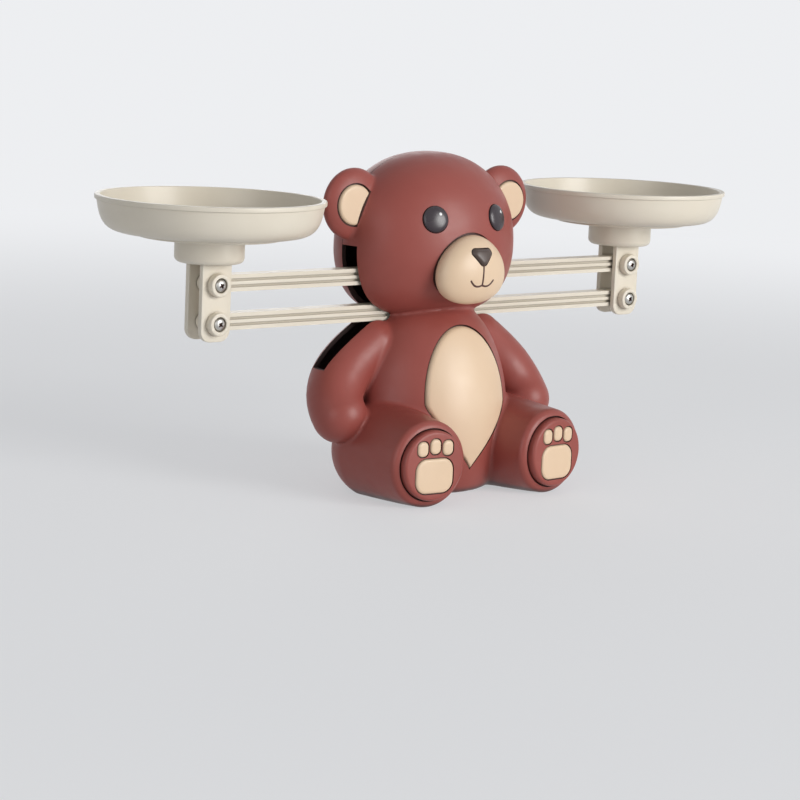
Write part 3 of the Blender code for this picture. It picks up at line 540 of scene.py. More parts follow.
def arm_path(side, count=15):
    t = np.linspace(0.0, 1.0, count)
    middle = 2 * ELBOW - (SHOULDER + HAND) / 2
    line = ((1 - t) ** 2)[:, None] * SHOULDER + (2 * t * (1 - t))[:, None] * middle + (t ** 2)[:, None] * HAND
    line[:, 0] *= side
    return line, np.interp(t, [0.0, 0.5, 1.0], ARM_RADII)


def foot_matrix(side):
    """Return the foot's frame, in millimetres: X across the sole, Z up and -Y out of the sole."""
    return Matrix.Translation((side * FOOT[0], FOOT[1], FOOT[2])) @ Matrix.Rotation(side * SPLAY, 4, "Z")


def moved(obj, matrix):
    """Move a form by a matrix in millimetres."""
    matrix.translation *= MM
    obj.data.transform(matrix)
    return obj


def ellipsoid_distance(p, centre, semi):
    q = p - centre
    k0 = np.linalg.norm(q / semi, axis=1)
    k1 = np.linalg.norm(q / semi ** 2, axis=1)
    return k0 * (k0 - 1) / np.maximum(k1, 1e-9)


def tube_distance(p, line, radii):
    best = np.full(len(p), 1e9)
    for a, b, ra, rb in zip(line[:-1], line[1:], radii[:-1], radii[1:]):
        ab = b - a
        t = np.clip(((p - a) @ ab) / (ab @ ab), 0.0, 1.0)
        best = np.minimum(best, np.linalg.norm(p - a - t[:, None] * ab, axis=1) - ra - t * (rb - ra))
    return best


def torso_distance(p):
    z = np.clip(p[:, 2], 0.0, TORSO_CUT)
    radius = torso_radius(z)
    slope = (torso_radius(z + 0.05) - torso_radius(z - 0.05)) / 0.1
    x, y = p[:, 0], p[:, 1] / TORSO_DEPTH
    across = np.maximum(np.hypot(x, y), 1e-6)
    gradient = np.sqrt((x / across) ** 2 + (y / across / TORSO_DEPTH) ** 2 + np.minimum(slope ** 2, 9.0))
    d = (across - radius) / gradient
    return np.maximum(d, p[:, 2] - TORSO_CUT)


def leg_distance(p, side):
    turn = np.array(foot_matrix(side).to_3x3())
    q = (p - np.array((side * FOOT[0], FOOT[1], FOOT[2]))) @ turn
    out = -q[:, 1]
    rho = np.hypot(q[:, 0], q[:, 2])
    taper = (THIGH - LEG_END) / (THIGH_BACK - LEG_ROUND)
    radius = LEG_END - taper * (out + LEG_ROUND)
    a = (rho - radius) / math.hypot(1, taper) + LEG_ROUND
    b = out + LEG_ROUND
    bar = np.minimum(np.maximum(a, b), 0) + np.hypot(np.maximum(a, 0), np.maximum(b, 0)) - LEG_ROUND
    knob = np.hypot(rho, out + THIGH_BACK) - THIGH
    return np.where(out > -THIGH_BACK, bar, knob)


def smooth_min(a, b, k):
    h = np.clip(0.5 + 0.5 * (b - a) / k, 0.0, 1.0)
    return b + (a - b) * h - k * h * (1 - h)


def bear_distance(p):
    """Return the distance from the bear's skin, with small fillets where its forms meet."""
    d = smooth_min(head_distance(p), torso_distance(p), NECK_FILLET)
    for side in SIDES.values():
        mirror = np.array((side, 1.0, 1.0))
        d = smooth_min(d, ellipsoid_distance(p, EAR_CENTRE * mirror, EAR_SEMI), EAR_FILLET)
        d = smooth_min(d, tube_distance(p, *arm_path(side)), LIMB_FILLET)
        d = smooth_min(d, leg_distance(p, side), LIMB_FILLET)
    return d


def settle(points, distance, rounds):
    """Move points along the distance's gradient onto its zero surface."""
    step = 0.02
    for _ in range(rounds):
        d = distance(points)
        gradient = np.stack([(distance(points + step * e) - distance(points - step * e)) / (2 * step)
                             for e in np.eye(3)], axis=1)
        size = np.maximum((gradient ** 2).sum(axis=1), 0.05)
        points = points - gradient * np.clip(d / size, -2.0, 2.0)[:, None]
    return points


def ball(name, centre, semi, material, segments=64, rings=32):
    """Make an ellipsoid as a turned half ellipse."""
    angles = np.radians(np.linspace(90, -90, rings + 1))
    profile = [(max(math.cos(a), 0.0), math.sin(a)) for a in angles]
    obj = turned(name, profile, segments, material)
    set_positions(obj, positions(obj) * np.asarray(semi) + np.asarray(centre))
    return obj


def torso_form(name, grow, material, steps):
    heights = np.concatenate((np.linspace(101.0, TORSO_WIDEST, 26), np.linspace(TORSO_WIDEST, 0.0, 14)[1:]))
    profile = [(0.0, TORSO_CUT + grow)] + [(float(torso_radius(z)) + grow, z) for z in heights]
    profile += [(TORSO_BASE + grow, -4.0 - grow), (0.0, -4.0 - grow)]
    torso = turned(name, profile, steps, material)
    points = positions(torso)
    radius = np.maximum(np.hypot(points[:, 0], points[:, 1]), 0.1)
    points[:, 1] *= (TORSO_DEPTH * np.maximum(radius - grow, 0.0) + grow) / radius
    set_positions(torso, points)
    return torso


def leg_form(name, side, grow, material, steps=72):
    rim = arc((LEG_END - LEG_ROUND + grow, -LEG_ROUND + grow), LEG_ROUND, 90, 0, 8)
    cap = arc((0.0, -THIGH_BACK), THIGH + grow, 0, -90, 16)
    profile = [(0.0, grow), *rim, *cap[:-1], (0.0, -THIGH_BACK - THIGH - grow)]
    return moved(turned(name, profile, steps, material, axis="Y"), foot_matrix(side))


def arm_forms(name, side):
    line, radii = arm_path(side)
    return [ball(f"{name}_{i}", line[i], np.full(3, radii[i]), FUR, 32, 16) for i in range(len(line))]


def box(name, low, high, material=None):
    corners = [(x, y, z) for x in (low[0], high[0]) for y in (low[1], high[1]) for z in (low[2], high[2])]
    faces = [(0, 1, 3, 2), (4, 6, 7, 5), (0, 4, 5, 1), (2, 3, 7, 6), (0, 2, 6, 4), (1, 5, 7, 3)]
    return build(name, corners, faces, material)


def rod(name, x, z, radius, y_low, y_high, material, steps=40):
    """Make a round cutter along Y."""
    return turned(name, [(0.0, -y_low), (radius, -y_low), (radius, -y_high), (0.0, -y_high)], steps, material,
                  (x, 0.0, z), "Y")


def egg_width(height):
    """Return the muzzle's width factor at a height from -1 to 1: wider towards the chin."""
    return 1 - MUZZLE_TAPER * height + MUZZLE_JOWL * np.maximum(-height, 0.0) ** 2


def egg(name, grow, material, segments=96, rings=48):
    form = ball(name, (0.0, 0.0, 0.0), MUZZLE_SEMI + grow, material, segments, rings)
    points = positions(form)
    points[:, 0] *= egg_width(points[:, 2] / MUZZLE_SEMI[2])
    set_positions(form, points + MUZZLE_CENTRE)
    return form


def egg_y(x, z):
    """Return the Y of the muzzle's front at a point seen from the front."""
    up = (z - MUZZLE_CENTRE[2]) / MUZZLE_SEMI[2]
    share = 1 - (x / egg_width(up) / MUZZLE_SEMI[0]) ** 2 - up ** 2
    return MUZZLE_CENTRE[1] - MUZZLE_SEMI[1] * np.sqrt(np.maximum(share, 0.0))


def belly_outline(grow=0.0):
    """Return the belly's outline, counter-clockwise from its right: round above, pointed below."""
    top, widest, tip, half, count = 90.0 + grow, 50.0, 14.5 - grow, 27.0 + grow, 61
    a = np.linspace(0.0, math.pi, count)
    upper = np.stack((half * np.cos(a), widest + (top - widest) * np.sin(a)), axis=1)
    s = np.linspace(0.0, 1.0, count)[1:]
    width = half * (1 - s ** 1.35) ** 1.15
    lower = np.stack((-width, widest - (widest - tip) * s), axis=1)
    mirrored = lower[:-1][::-1] * np.array((-1.0, 1.0))
    return np.concatenate((upper, lower, mirrored))


def nose_outline(grow=0.0):
    top, bottom, half, corner = 133.6, 124.6, 6.8, 2.4
    return np.concatenate((
        arc((half - corner, top - corner), corner + grow, -14, 90, 12),
        arc((-half + corner, top - corner), corner + grow, 90, 194, 12),
        arc((0.0, bottom + 3.1), 3.1 + grow, 216, 324, 12)))


def main_pad_outline(grow=0.0):
    return rounded_rectangle((0.0, -5.2), 23.5 + 2 * grow, 18.4 + 2 * grow, 6.5 + grow)


def toe_outline(place, grow):
    centre = (place * 7.9, 9.4 + (1.0 if place == 0 else 0.0))
    return rounded_rectangle(centre, 6.6 + 2 * grow, 8.0 + 2 * grow, 2.8 + grow)


def eye_matrix(side):
    """Return the eye's matrix, in millimetres, with its Z axis out of the head."""
    x, step = side * EYE_X, 0.1
    slope_x = (head_y(x + step, EYE_Z) - head_y(x - step, EYE_Z)) / (2 * step)
    slope_z = (head_y(x, EYE_Z + step) - head_y(x, EYE_Z - step)) / (2 * step)
    normal = Vector((slope_x, -1.0, slope_z)).normalized()
    across = Vector((0, 0, 1)).cross(normal).normalized()
    turn = Matrix((across, normal.cross(across), normal)).transposed().to_4x4()
    return Matrix.Translation((x, head_y(x, EYE_Z), EYE_Z)) @ turn


# The bear

def bear_skin():
    """Remesh the bear's forms into one skin and settle it on the filleted surface."""
    forms = [head_form("head", 0.0, FUR, 128, 64), torso_form("torso", 0.0, FUR, 128)]
    for word, side in SIDES.items():
        mirror = np.array((side, 1.0, 1.0))
        forms.append(ball(word + "_ear", EAR_CENTRE * mirror, EAR_SEMI, FUR))
        forms += arm_forms(word + "_arm", side)
        forms.append(leg_form(word + "_leg", side, 0.0, FUR, 96))
    skin = merge("skin", forms)
    remesh = skin.modifiers.new("remesh", "REMESH")
    remesh.mode = "VOXEL"
    remesh.voxel_size = 1.1 * MM
    for rounds in (3, 4):
        relax = skin.modifiers.new("relax", "SMOOTH")
        relax.iterations = 3
        apply_modifiers(skin)
        set_positions(skin, settle(positions(skin), bear_distance, rounds))
    skin.data.materials.clear()
    skin.data.materials.append(FUR)
    return skin


def bear_inside():
    """Return the bear's hollow, less the posts that carry the pivots and screws; its walls are near-black,
    painted shade.
    """
    forms = [head_form("head_inside", -WALL, HOLLOW_SHADE, 48, 24),
             torso_form("torso_inside", -WALL, HOLLOW_SHADE, 48)]
    for word, side in SIDES.items():
        line, radii = arm_path(side, 25)
        forms.append(tube(word + "_arm_inside", line, radii - WALL, HOLLOW_SHADE, 32))
    hollow = carve(forms[0], forms[1:], "UNION")
    below = box("below", (-FAR, -FAR, -20), (FAR, FAR, WALL), HOLLOW_SHADE)
    posts = [rod(f"post_{i}", x, z, r, -60, 60, HOLLOW_SHADE, 32) for i, (x, z, r) in enumerate(post_places())]
    return carve(hollow, [below, *posts])


def screw_places():
    return [(side * x, z) for x, z in (HEAD_SCREW, BASE_SCREW) for side in (-1, 1)]


def post_places():
    posts = [(0.0, z + PIVOT_RISE, PIN_POST_RADIUS) for _, z in LEVELS]
    return posts + [(x, z, POST_RADIUS) for x, z in screw_places()]


def bore_forms():
    forms = [rod(level + "_pin_bore", 0.0, z + PIVOT_RISE, PIN_BORE, -17.8, 17.8, FUR, 24)
             for level, z in LEVELS]
    for i, (x, z) in enumerate(screw_places()):
        forms.append(rod(f"screw_hole_{i}", x, z, SHELL_SCREW + 0.3, -0.7, WELL_FLOOR + 1.0, FUR, 20))
        forms.append(rod(f"screw_well_{i}", x, z, WELL_RADIUS, WELL_FLOOR, 90.0, FUR))
    return forms


def pocket_forms():
    """Return the cutters for the grooves and pockets round the inserts; their dark brown walls are the
    inserts' outline together with painted shade in the grooves.
    """
    cutters = []
    floor = head_form("muzzle_floor", -1.2, OUTLINE_AND_SHADE)
    cutters.append(carve(egg("muzzle_pocket", 1.25, OUTLINE_AND_SHADE), [floor]))
    panel = pillow("belly_pocket", belly_outline(GROOVE), BELLY_MIDDLE, (0.0, 1.0, 3.0), flat_at(IN_FRONT),
                   lambda x, z, d: torso_y(x, z) + 1.4, OUTLINE_AND_SHADE)
    legs = [leg_form(f"belly_leg_{word}", side, GROOVE, OUTLINE_AND_SHADE) for word, side in SIDES.items()]
    cutters.append(carve(panel, legs))
    for word, side in SIDES.items():
        eye = ball(word + "_eye_pocket", (0, 0, 0), (EYE_RADIUS + 0.5, EYE_RADIUS + 0.5, 2.3), OUTLINE_AND_SHADE)
        cutters.append(moved(eye, eye_matrix(side)))
        lining = rod(word + "_ear_pocket", side * EAR_LINING_X, EAR_CENTRE[2], EAR_LINING_RADIUS + GROOVE,
                     -20.0, EAR_POCKET_FLOOR, OUTLINE_AND_SHADE, 72)
        cutters.append(carve(lining, [head_form(word + "_ear_limit", 0.3, OUTLINE_AND_SHADE)]))
        sole = rod(word + "_sole_pocket", 0.0, 0.0, LEG_END - LEG_ROUND, -8.0, SOLE_POCKET, OUTLINE_AND_SHADE, 96)
        cutters.append(moved(sole, foot_matrix(side)))
    return cutters


def copy_of(obj, name):
    twin = bpy.data.objects.new(name, obj.data.copy())
    bpy.context.scene.collection.objects.link(twin)
    return twin


def bear_shells():
    """Make the front and rear shells from one hollow skin."""
    skin = bear_skin()
    ground = box("ground", (-FAR, -FAR, -50), (FAR, FAR, 0), FUR)
    carve(skin, [ground, bear_inside(), *bore_forms()])
    rear = copy_of(skin, "rear_casing")
    slot_bottom, slot_top = LOWER_Z - SLOT_BELOW_BEAM, UPPER_Z + SLOT_ABOVE_BEAM
    # The slot and the seam cut their faces in the near-black brown: painted shade.
    slot = box("slot", (-FAR, -SEAM, slot_bottom), (FAR, FAR, slot_top), HOLLOW_SHADE)
    behind = box("behind", (-FAR, SEAM - SEAM_GAP / 2, -10), (FAR, FAR, FAR), HOLLOW_SHADE)
    ahead = box("ahead", (-FAR, -FAR, -10), (FAR, SEAM + SEAM_GAP / 2, FAR), HOLLOW_SHADE)
    carve(skin, [behind, slot, *pocket_forms()])
    carve(rear, [ahead])
    skin.name = "front_casing"
    for casing, node in ((skin, "front_shell"), (rear, "rear_shell")):
        sharpen(casing, 30)
        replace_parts(casing, node)
        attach(casing, "bear")


def face():
    """Make the muzzle with its nose and mouth, and the eyes with a painted highlight on each."""
    muzzle = carve(egg("snout", 0.0, CREAM, 144, 72), [head_form("snout_back", -1.1, CREAM)])
    pocket = pillow("nose_pocket", nose_outline(0.35), NOSE_MIDDLE, (0.0, 0.6, 1.6), flat_at(IN_FRONT),
                    lambda x, z, d: egg_y(x, z) + 1.2, OUTLINE_AND_SHADE)
    carve(muzzle, [pocket])
    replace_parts(sharpen(muzzle, 40), "muzzle")
    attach(muzzle, "bear")
    mouth_lines("mouth_groove", 0.62)
    nose = pillow("nose_tip", nose_outline(), NOSE_MIDDLE, (0.0, 0.12, 0.35, 0.7, 1.2, 1.8, 2.5),
                  lambda x, z, d: egg_y(x, z) - dome(d, 2.6, -0.9, 1.5),
                  lambda x, z, d: egg_y(x, z) + 0.9, NOSE)
    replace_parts(sharpen(nose, 50), "nose")
    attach(nose, "bear")
    for word, side in SIDES.items():
        semi = (EYE_RADIUS, EYE_RADIUS, EYE_HEIGHT)
        eye = moved(ball(word + "_eye_bead", (0, 0, 0), semi, EYE, 96, 48), eye_matrix(side))
        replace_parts(eye, word + "_eye")
        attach(eye, "bear")
        # A small white dot on each eye: a painted highlight where the lamp's glint falls.
        x, y = 2.3, 2.7
        height = EYE_HEIGHT * math.sqrt(1 - (x ** 2 + y ** 2) / EYE_RADIUS ** 2)
        dot = ball(word + "_eye_glint", (0, 0, 0), (0.85, 0.85, 0.16), PAINTED_GLINT, 32, 16)
        outward = Vector((x / EYE_RADIUS ** 2, y / EYE_RADIUS ** 2, height / EYE_HEIGHT ** 2))
        tilt = outward.to_track_quat("Z", "Y").to_matrix().to_4x4()
        dot.data.transform(Matrix.Translation(Vector((x, y, height - 0.02)) * MM) @ tilt)
        moved(dot, eye_matrix(side))
        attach(dot, "bear")


def mouth_lines(name, radius):
    """Make the line below the nose and the smile as tubes half sunk in the muzzle."""
    smile_z, nose_z, half = 114.3, 125.4, 7.6
    drop_z = nose_z + (smile_z + 0.3 - nose_z) * np.linspace(0.0, 1.0, 25)
    x = np.linspace(-half, half, 41)
    share = np.abs(x) / half
    smile = np.stack((x, smile_z - 3.6 * share * (1 - share) + 2.3 * share ** 3), axis=1)
    for i, flat in enumerate((np.stack((0 * drop_z, drop_z), axis=1), smile)):
        y = egg_y(flat[:, 0], flat[:, 1]) + 0.30
        line = tube(f"{name}_{i}", np.stack((flat[:, 0], y, flat[:, 1]), axis=1), radius, OUTLINE_AND_SHADE)
        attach(line, "bear")


def tube(name, path, radius, material, sides=16):
    """Make a tube with round ends along a path; its radius is one number or one for each point."""
    radii = np.broadcast_to(radius, len(path))
    along = np.gradient(path, axis=0)
    along /= np.linalg.norm(along, axis=1)[:, None]
    side = np.cross(along, (0.0, -1.0, 0.0))
    side /= np.linalg.norm(side, axis=1)[:, None]
    up = np.cross(side, along)
    angles = np.arange(sides) * math.tau / sides
    ends = np.radians(np.linspace(90, 0, 8))[:-1]
    end = len(path) - 1
    tip, tail = radii[0], radii[end]
    stations = [(path[0] - along[0] * tip * math.sin(a), 0, tip * math.cos(a)) for a in ends]
    stations += [(path[i], i, radii[i]) for i in range(len(path))]
    stations += [(path[end] + along[end] * tail * math.sin(a), end, tail * math.cos(a)) for a in ends[::-1]]
    points = []
    for centre, i, r in stations:
        points.append(centre + r * (np.cos(angles)[:, None] * side[i] + np.sin(angles)[:, None] * up[i]))
    return build(name, np.concatenate(points), strips(len(stations), sides), material)


def ear_linings():
    for word, side in SIDES.items():
        centre = (side * EAR_LINING_X, EAR_CENTRE[2])
        outline = arc(centre, EAR_LINING_RADIUS, 0, 360, 97)[:-1]
        lining = pillow(word + "_ear_inlay", outline, centre, (0.0, 0.1, 0.3, 0.6, 1.0, 1.5, 3.0),
                        lambda x, z, d: EAR_POCKET_FLOOR - 0.5 - dome(d, 1.4, 0.0, 1.6),
                        flat_at(EAR_POCKET_FLOOR - 0.3), CREAM)
        carve(lining, [head_form(word + "_lining_limit", 0.7, CREAM)])
        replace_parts(sharpen(lining, 50), word + "_ear_lining")
        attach(lining, "bear")


def belly():
    panel = pillow("belly_inlay", belly_outline(), BELLY_MIDDLE, (0.0, 0.08, 0.25, 0.5, 0.85, 1.3, 2.0, 4.0),
                   lambda x, z, d: torso_y(x, z) - dome(d, 1.4, -1.2, INSERT_RISE),
                   lambda x, z, d: torso_y(x, z) + 1.2, CREAM)
    carve(panel, [leg_form(f"panel_leg_{word}", side, GROOVE, CREAM) for word, side in SIDES.items()])
    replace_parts(sharpen(panel, 40), "belly_panel")
    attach(panel, "bear")


def feet():
    """Make the soles with their pads."""
    radius = LEG_END - LEG_ROUND - 0.85
    for word, side in SIDES.items():
        profile = filleted([(0.0, SOLE_RISE), (radius, SOLE_RISE, 1.9), (radius, -2.1, 0.2), (0.0, -2.1)], 8)
        sole = turned(word + "_sole_disc", profile, 128, FUR, axis="Y")
        flats = [("main", main_pad_outline)]
        flats += [(place, lambda grow=0.0, t=t: toe_outline(t, grow))
                  for t, place in zip((-1, 0, 1), ("outer", "middle", "inner")[::-side])]
        pockets = []
        for place, outline in flats:
            spot = outline(0.55)
            pockets.append(pillow(f"{word}_{place}_pocket", spot, spot.mean(axis=0), (0.0, 0.5, 1.2),
                                  flat_at(-SOLE_RISE - 3.0), flat_at(-SOLE_RISE + 0.95), OUTLINE_AND_SHADE))
        carve(sole, pockets)
        moved(sole, foot_matrix(side))
        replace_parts(sharpen(sole, 40), word + "_sole")
        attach(sole, "bear")
        for place, outline in flats:
            spot = outline()
            node = f"{word}_main_pad" if place == "main" else f"{word}_{place}_toe_pad"
            pad = pillow(node + "_inlay", spot, spot.mean(axis=0), (0.0, 0.08, 0.22, 0.45, 0.75, 1.1, 1.6),
                         lambda x, z, d: -SOLE_RISE - dome(d, 1.5, -0.6, INSERT_RISE),
                         flat_at(-SOLE_RISE + 0.7), CREAM)
            moved(pad, foot_matrix(side))
            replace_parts(sharpen(pad, 50), node)
            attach(pad, "bear")


# The balance

def beams():
    """Make the beams: round-ended bars, recessed between their flanges, with a rib and a hub."""
    half, depth = BEAM_HEIGHT / 2, BEAM_DEPTH / 2
    floor, past = depth - RECESS, depth + 5.0
    for level, z in LEVELS:
        name = level + "_beam"
        outline = np.concatenate((arc((ARM, z), half, -90, 90, 25), arc((-ARM, z), half, 90, 270, 25)))
        bar = slab(name + "_bar", outline, -depth, depth, 0.0, IVORY, 2)
        recesses, ribs = [], []
        for side in (-1, 1):
            for front in (-1, 1):
                near, far = sorted((side * HUB_RADIUS / 2, side * (ARM - SCREW_HOLE - EYE_WALL)))
                low, high = sorted((front * floor, front * past))
                recesses.append(box("recess", (near, low, z - half + FLANGE), (far, high, z + half - FLANGE)))
                near, far = sorted((side * 5.0, side * (ARM - 4.0)))
                low, high = sorted((front * (floor - RECESS / 2), front * (depth - 0.15)))
                ribs.append(box("rib", (near, low, z - RIB_HEIGHT / 2), (far, high, z + RIB_HEIGHT / 2)))
        hub = rod("hub", 0.0, z + PIVOT_RISE, HUB_RADIUS, -HUB_DEPTH / 2, HUB_DEPTH / 2, None, 64)
        holes = [rod("bore", 0.0, z + PIVOT_RISE, PIN_BORE, -past, past, None, 32)]
        holes += [rod("hole", side * ARM, z, SCREW_HOLE, -past, past, None, 32) for side in (-1, 1)]
        carve(bar, recesses)
        carve(bar, [*ribs, hub], "UNION")
        carve(bar, holes)
        soften(bar)
        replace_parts(bar, name)
        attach(bar, name)


def soften(obj):
    """Round the long edges of a straight-sided piece."""
    weld = obj.modifiers.new("weld", "WELD")
    weld.merge_threshold = 0.01 * MM
    flat = obj.modifiers.new("flat", "DECIMATE")
    flat.decimate_type = "DISSOLVE"
    flat.angle_limit = math.radians(1.0)
    bevel = obj.modifiers.new("soft_edges", "BEVEL")
    bevel.width = 0.28 * MM
    bevel.segments = 3
    bevel.limit_method = "ANGLE"
    bevel.angle_limit = math.radians(40)
    obj.modifiers.new("weighted", "WEIGHTED_NORMAL").keep_sharp = True
    apply_modifiers(obj)
    obj.data.materials.clear()
    obj.data.materials.append(IVORY)


def screw(name, x, z, seat, length, radius, facing=1):
    """Make a cross-head screw along Y with a domed head whose seat is at Y = seat."""
    head = [(0.0, 2.25), (1.4, 2.2), (2.5, 1.9), (3.2, 1.3), (3.5, 0.6, 0.2), (3.5, 0.0, 0.1)]
    shank = [(radius, 0.0, 0.15), (radius, -length, 0.4), (0.0, -length)]
    form = turned(name, filleted(head + shank, 4), 64, STEEL, axis="Y")
    cross = []
    for k in range(2):
        wedge = box(f"{name}_slot_{k}", (-2.15, -6.0, -0.5), (2.15, -0.95, 0.5), OUTLINE_AND_SHADE)
        points = positions(wedge)
        points[:, 0] *= np.where(points[:, 1] > -2.0, 0.55, 1.0)
        if k:
            points = points[:, [2, 1, 0]]
        set_positions(wedge, points)
        bm = bmesh.new()
        bm.from_mesh(wedge.data)
        bmesh.ops.recalc_face_normals(bm, faces=bm.faces)
        bm.to_mesh(wedge.data)
        bm.free()
        cross.append(wedge)
    dimple = [(0.0, 6.0), (0.95, 6.0), (0.95, 1.2), (0.0, 0.5)]
    # The cross and the dimple leave their faces dark brown: painted shade in the screw's recess.
    carve(form, [*cross, turned(f"{name}_dimple", dimple, 24, OUTLINE_AND_SHADE, axis="Y")])
    turn = Matrix.Rotation(0.0 if facing > 0 else math.pi, 4, "Z")
    spin = Matrix.Rotation(0.35 + 0.011 * x + 0.02 * z, 4, "Y")
    form.data.transform(Matrix.Translation(Vector((x, seat, z)) * MM) @ turn @ spin)
    form.data.materials[0] = STEEL
    return sharpen(form, 35)


def pivot_screws():
    for word, side in SIDES.items():
        for level, z in LEVELS:
            label = f"{word}_{level}"
            form = screw(label + "_screw", side * ARM, z, -SEAT_FACE - 0.3, 17.4, SCREW_HOLE - 0.3)
            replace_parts(form, label + "_pivot_screw")
            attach(form, word + "_support")
    names = ("head_screw_left", "head_screw_right", "base_screw_left", "base_screw_right")
    for node, (x, z) in zip(names, screw_places()):
        form = screw(node + "_form", x, z, WELL_FLOOR + 0.3, 11.4, SHELL_SCREW, -1)
        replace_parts(form, node)
        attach(form, "bear")


def supports():
    """Make the forked supports: a disc, two plates below it, and a boss round each screw."""
    for word, side in SIDES.items():
        x = side * ARM
        disc = filleted([(0.0, SUPPORT_TOP), (SUPPORT_RADIUS, SUPPORT_TOP, 0.8),
                         (SUPPORT_RADIUS, SUPPORT_BOTTOM, 3.0), (0.0, SUPPORT_BOTTOM)], 6)
        support = turned(word + "_fork", disc, 128, IVORY, (x, 0.0, 0.0))
        middle, height = (PLATE_TOP + PLATE_BOTTOM) / 2, PLATE_TOP - PLATE_BOTTOM
        outline = rounded_rectangle((x, middle), PLATE_WIDTH, height, PLATE_CORNER, 12)
        parts = [slab(word + "_front_plate", outline, -PLATE_OUTER, -PLATE_INNER, 0.45, IVORY),
                 slab(word + "_rear_plate", outline, PLATE_INNER, PLATE_OUTER, 0.45, IVORY)]
        holes = []
        boss = filleted([(0.0, BOSS_FACE), (BOSS_RADIUS, BOSS_FACE, 0.7), (BOSS_RADIUS, 6.0), (0.0, 6.0)], 6)
        mouth = SEAT_RADIUS + 0.5
        seat = [(0.0, BOSS_FACE + 2.2), (mouth, BOSS_FACE + 2.2), (mouth, BOSS_FACE + 0.2),
                (SEAT_RADIUS, BOSS_FACE - 0.4), (SEAT_RADIUS, SEAT_FACE), (0.0, SEAT_FACE)]
        for level, z in LEVELS:
            label = f"{word}_{level}"
            parts.append(turned(label + "_boss", boss, 64, IVORY, (x, 0.0, z), "Y"))
            holes.append(turned(label + "_seat", seat, 64, IVORY, (x, 0.0, z), "Y"))
            holes.append(rod(label + "_hole", x, z, SCREW_HOLE, -SEAT_FACE - 0.2, 9.0, IVORY, 40))
        carve(support, parts, "UNION")
        carve(support, holes)
        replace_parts(sharpen(support, 28), word + "_pan_support")
        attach(support, word + "_support")


def pans():
    """Make the pans: a shallow bowl with a lip, a foot ring and a socket ring."""
    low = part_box("left_pan")[0].z / MM
    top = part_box("left_pan")[1].z / MM - low
    inner = bezier((56.1, top - 1.0), (54.9, 13.4), (54.6, 4.4), (45.5, 3.8), 24)[::-1]
    lip = filleted([(56.1, top - 1.0), (56.2, top, 0.5), (PAN_LIP_RADIUS, top, 0.55),
                    (PAN_LIP_RADIUS, top - 2.4, 0.4), (57.9, top - 2.5, 0.25), (57.8, top - 3.4)], 5)
    outer = bezier((57.8, top - 3.4), (56.8, 12.2), (56.2, 2.5), (46.0, 2.0), 24)
    under = filleted([(46.0, 2.0), (37.5, 2.0, 0.5), (37.5, 0.0, 0.45), (35.2, 0.0, 0.45), (35.2, 2.0, 0.5),
                      (20.7, 2.0, 0.5), (20.7, 0.0, 0.45), (18.4, 0.0, 0.4), (18.4, 2.0, 0.2), (0.0, 2.0)], 4)
    profile = [(0.0, 3.8), *inner, *lip[1:], *outer[1:], *under[1:]]
    for word, side in SIDES.items():
        pan = turned(word + "_dish", profile, 176, IVORY, (side * ARM, 0.0, low))
        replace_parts(sharpen(pan, 40), word + "_pan")
        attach(pan, word + "_pan")


def pins():
    """Give the pivot pins inside the bear their steel."""
    for name in ("upper_pivot_pin", "lower_pivot_pin"):
        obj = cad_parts[name]
        obj.data.materials.clear()
        obj.data.materials.append(STEEL)


# Stage

def seen_rays(tree):
    """Return 1 for rays that show the background: those of the camera, of gloss and of transmission."""
    path = tree.nodes.new("ShaderNodeLightPath")
    seen = path.outputs["Is Camera Ray"]
    for kind in ("Is Glossy Ray", "Is Transmission Ray"):
        either = tree.nodes.new("ShaderNodeMath")
        either.operation = "MAXIMUM"
        tree.links.new(seen, either.inputs[0])
        tree.links.new(path.outputs[kind], either.inputs[1])
        seen = either.outputs["Value"]
    return seen


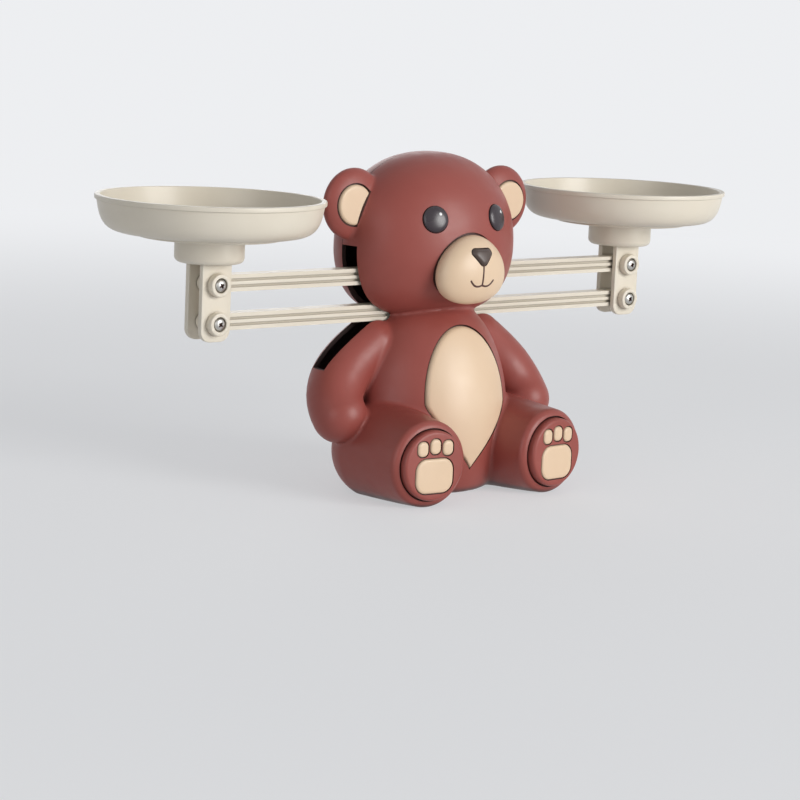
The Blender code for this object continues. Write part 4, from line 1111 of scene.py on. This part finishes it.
def stage():
    """Add a pale floor that fades into the backdrop, the world and soft lamps."""
    pale = (0.85, 0.86, 0.88)
    rings = [(0.0, 0.0), (400.0, 0.0), (1500.0, 0.0), (9000.0, 0.0)]
    floor = turned("floor", rings, 96, None, (0.0, 0.0, -0.05))
    material, tree, shader = new_material("floor_paper")
    coords = tree.nodes.new("ShaderNodeTexCoord").outputs["Object"]
    shader.inputs["Roughness"].default_value = 0.75
    shader.inputs["Specular IOR Level"].default_value = 0.2
    tree.links.new(mix_colour(tree, noise(tree, coords, 3.0, 2.0), (0.86, 0.87, 0.89), (0.89, 0.90, 0.92)),
                   shader.inputs["Base Color"])
    length = tree.nodes.new("ShaderNodeVectorMath")
    length.operation = "LENGTH"
    tree.links.new(coords, length.inputs[0])
    fade = tree.nodes.new("ShaderNodeMapRange")
    fade.interpolation_type = "SMOOTHSTEP"
    fade.inputs["From Min"].default_value = 0.45
    fade.inputs["From Max"].default_value = 1.5
    fade.inputs["To Min"].default_value = 0.55
    tree.links.new(length.outputs["Value"], fade.inputs["Value"])
    share = tree.nodes.new("ShaderNodeMath")
    share.operation = "MULTIPLY"
    tree.links.new(fade.outputs["Result"], share.inputs[0])
    tree.links.new(seen_rays(tree), share.inputs[1])
    glow = tree.nodes.new("ShaderNodeEmission")
    glow.inputs["Color"].default_value = (*pale, 1.0)
    blend = tree.nodes.new("ShaderNodeMixShader")
    tree.links.new(share.outputs["Value"], blend.inputs[0])
    tree.links.new(shader.outputs[0], blend.inputs[1])
    tree.links.new(glow.outputs[0], blend.inputs[2])
    tree.links.new(blend.outputs[0], tree.nodes["Material Output"].inputs["Surface"])
    floor.data.materials.append(material)

    world = bpy.data.worlds.new("studio")
    bpy.context.scene.world = world
    world.use_nodes = True
    tree = world.node_tree
    soft = tree.nodes["Background"]
    soft.inputs["Color"].default_value = (0.95, 0.97, 1.0, 1.0)
    soft.inputs["Strength"].default_value = 0.22
    seen = tree.nodes.new("ShaderNodeBackground")
    seen.inputs["Color"].default_value = (*pale, 1.0)
    blend = tree.nodes.new("ShaderNodeMixShader")
    tree.links.new(seen_rays(tree), blend.inputs[0])
    tree.links.new(soft.outputs[0], blend.inputs[1])
    tree.links.new(seen.outputs[0], blend.inputs[2])
    tree.links.new(blend.outputs[0], tree.nodes["World Output"].inputs["Surface"])

    lamps = (("key", (0.95, -2.6, 0.85), 1.7, 60.0, (1.0, 0.99, 0.97)),
             ("fill", (-2.3, -1.0, 0.7), 1.5, 10.0, (0.97, 0.98, 1.0)),
             ("back", (1.2, 2.3, 0.9), 1.6, 8.5, (1.0, 1.0, 1.0)))
    for name, place, size, power, colour in lamps:
        lamp = bpy.data.lights.new(name, "AREA")
        lamp.shape = "DISK"
        lamp.size = size
        lamp.energy = power
        lamp.color = colour
        obj = bpy.data.objects.new(name, lamp)
        obj.location = place
        obj.rotation_euler = (Vector((0.0, 0.0, 0.09)) - Vector(place)).to_track_quat("-Z", "Y").to_euler()
        bpy.context.scene.collection.objects.link(obj)


def camera():
    """Place the camera at the photograph's viewing angle."""
    turn, pitch, roll = math.radians(39.68), math.radians(9.48), math.radians(2.6)
    forward = Vector((math.sin(turn) * math.cos(pitch), math.cos(turn) * math.cos(pitch), -math.sin(pitch)))
    right = Vector((math.cos(turn), -math.sin(turn), 0.0))
    up = right.cross(forward)
    across = math.cos(roll) * right + math.sin(roll) * up
    upward = -math.sin(roll) * right + math.cos(roll) * up
    distance, shift_x, shift_y, focal = 1391.1, 13.81, 54.26, 2544.0
    eye = Vector((0.0, 0.0, 100.0)) - distance * forward - shift_x * across - shift_y * upward
    data = bpy.data.cameras.new("camera")
    data.sensor_width = 36.0
    data.lens = focal / 800.0 * 36.0
    data.clip_start = 0.05
    data.clip_end = 30.0
    obj = bpy.data.objects.new("camera", data)
    obj.matrix_world = Matrix.Translation(eye * MM) @ Matrix((across, upward, -forward)).transposed().to_4x4()
    bpy.context.scene.collection.objects.link(obj)
    bpy.context.scene.camera = obj


bpy.context.scene.view_settings.view_transform = "Standard"
bear_shells()
face()
ear_linings()
belly()
feet()
beams()
pivot_screws()
supports()
pans()
pins()
stage()
camera()
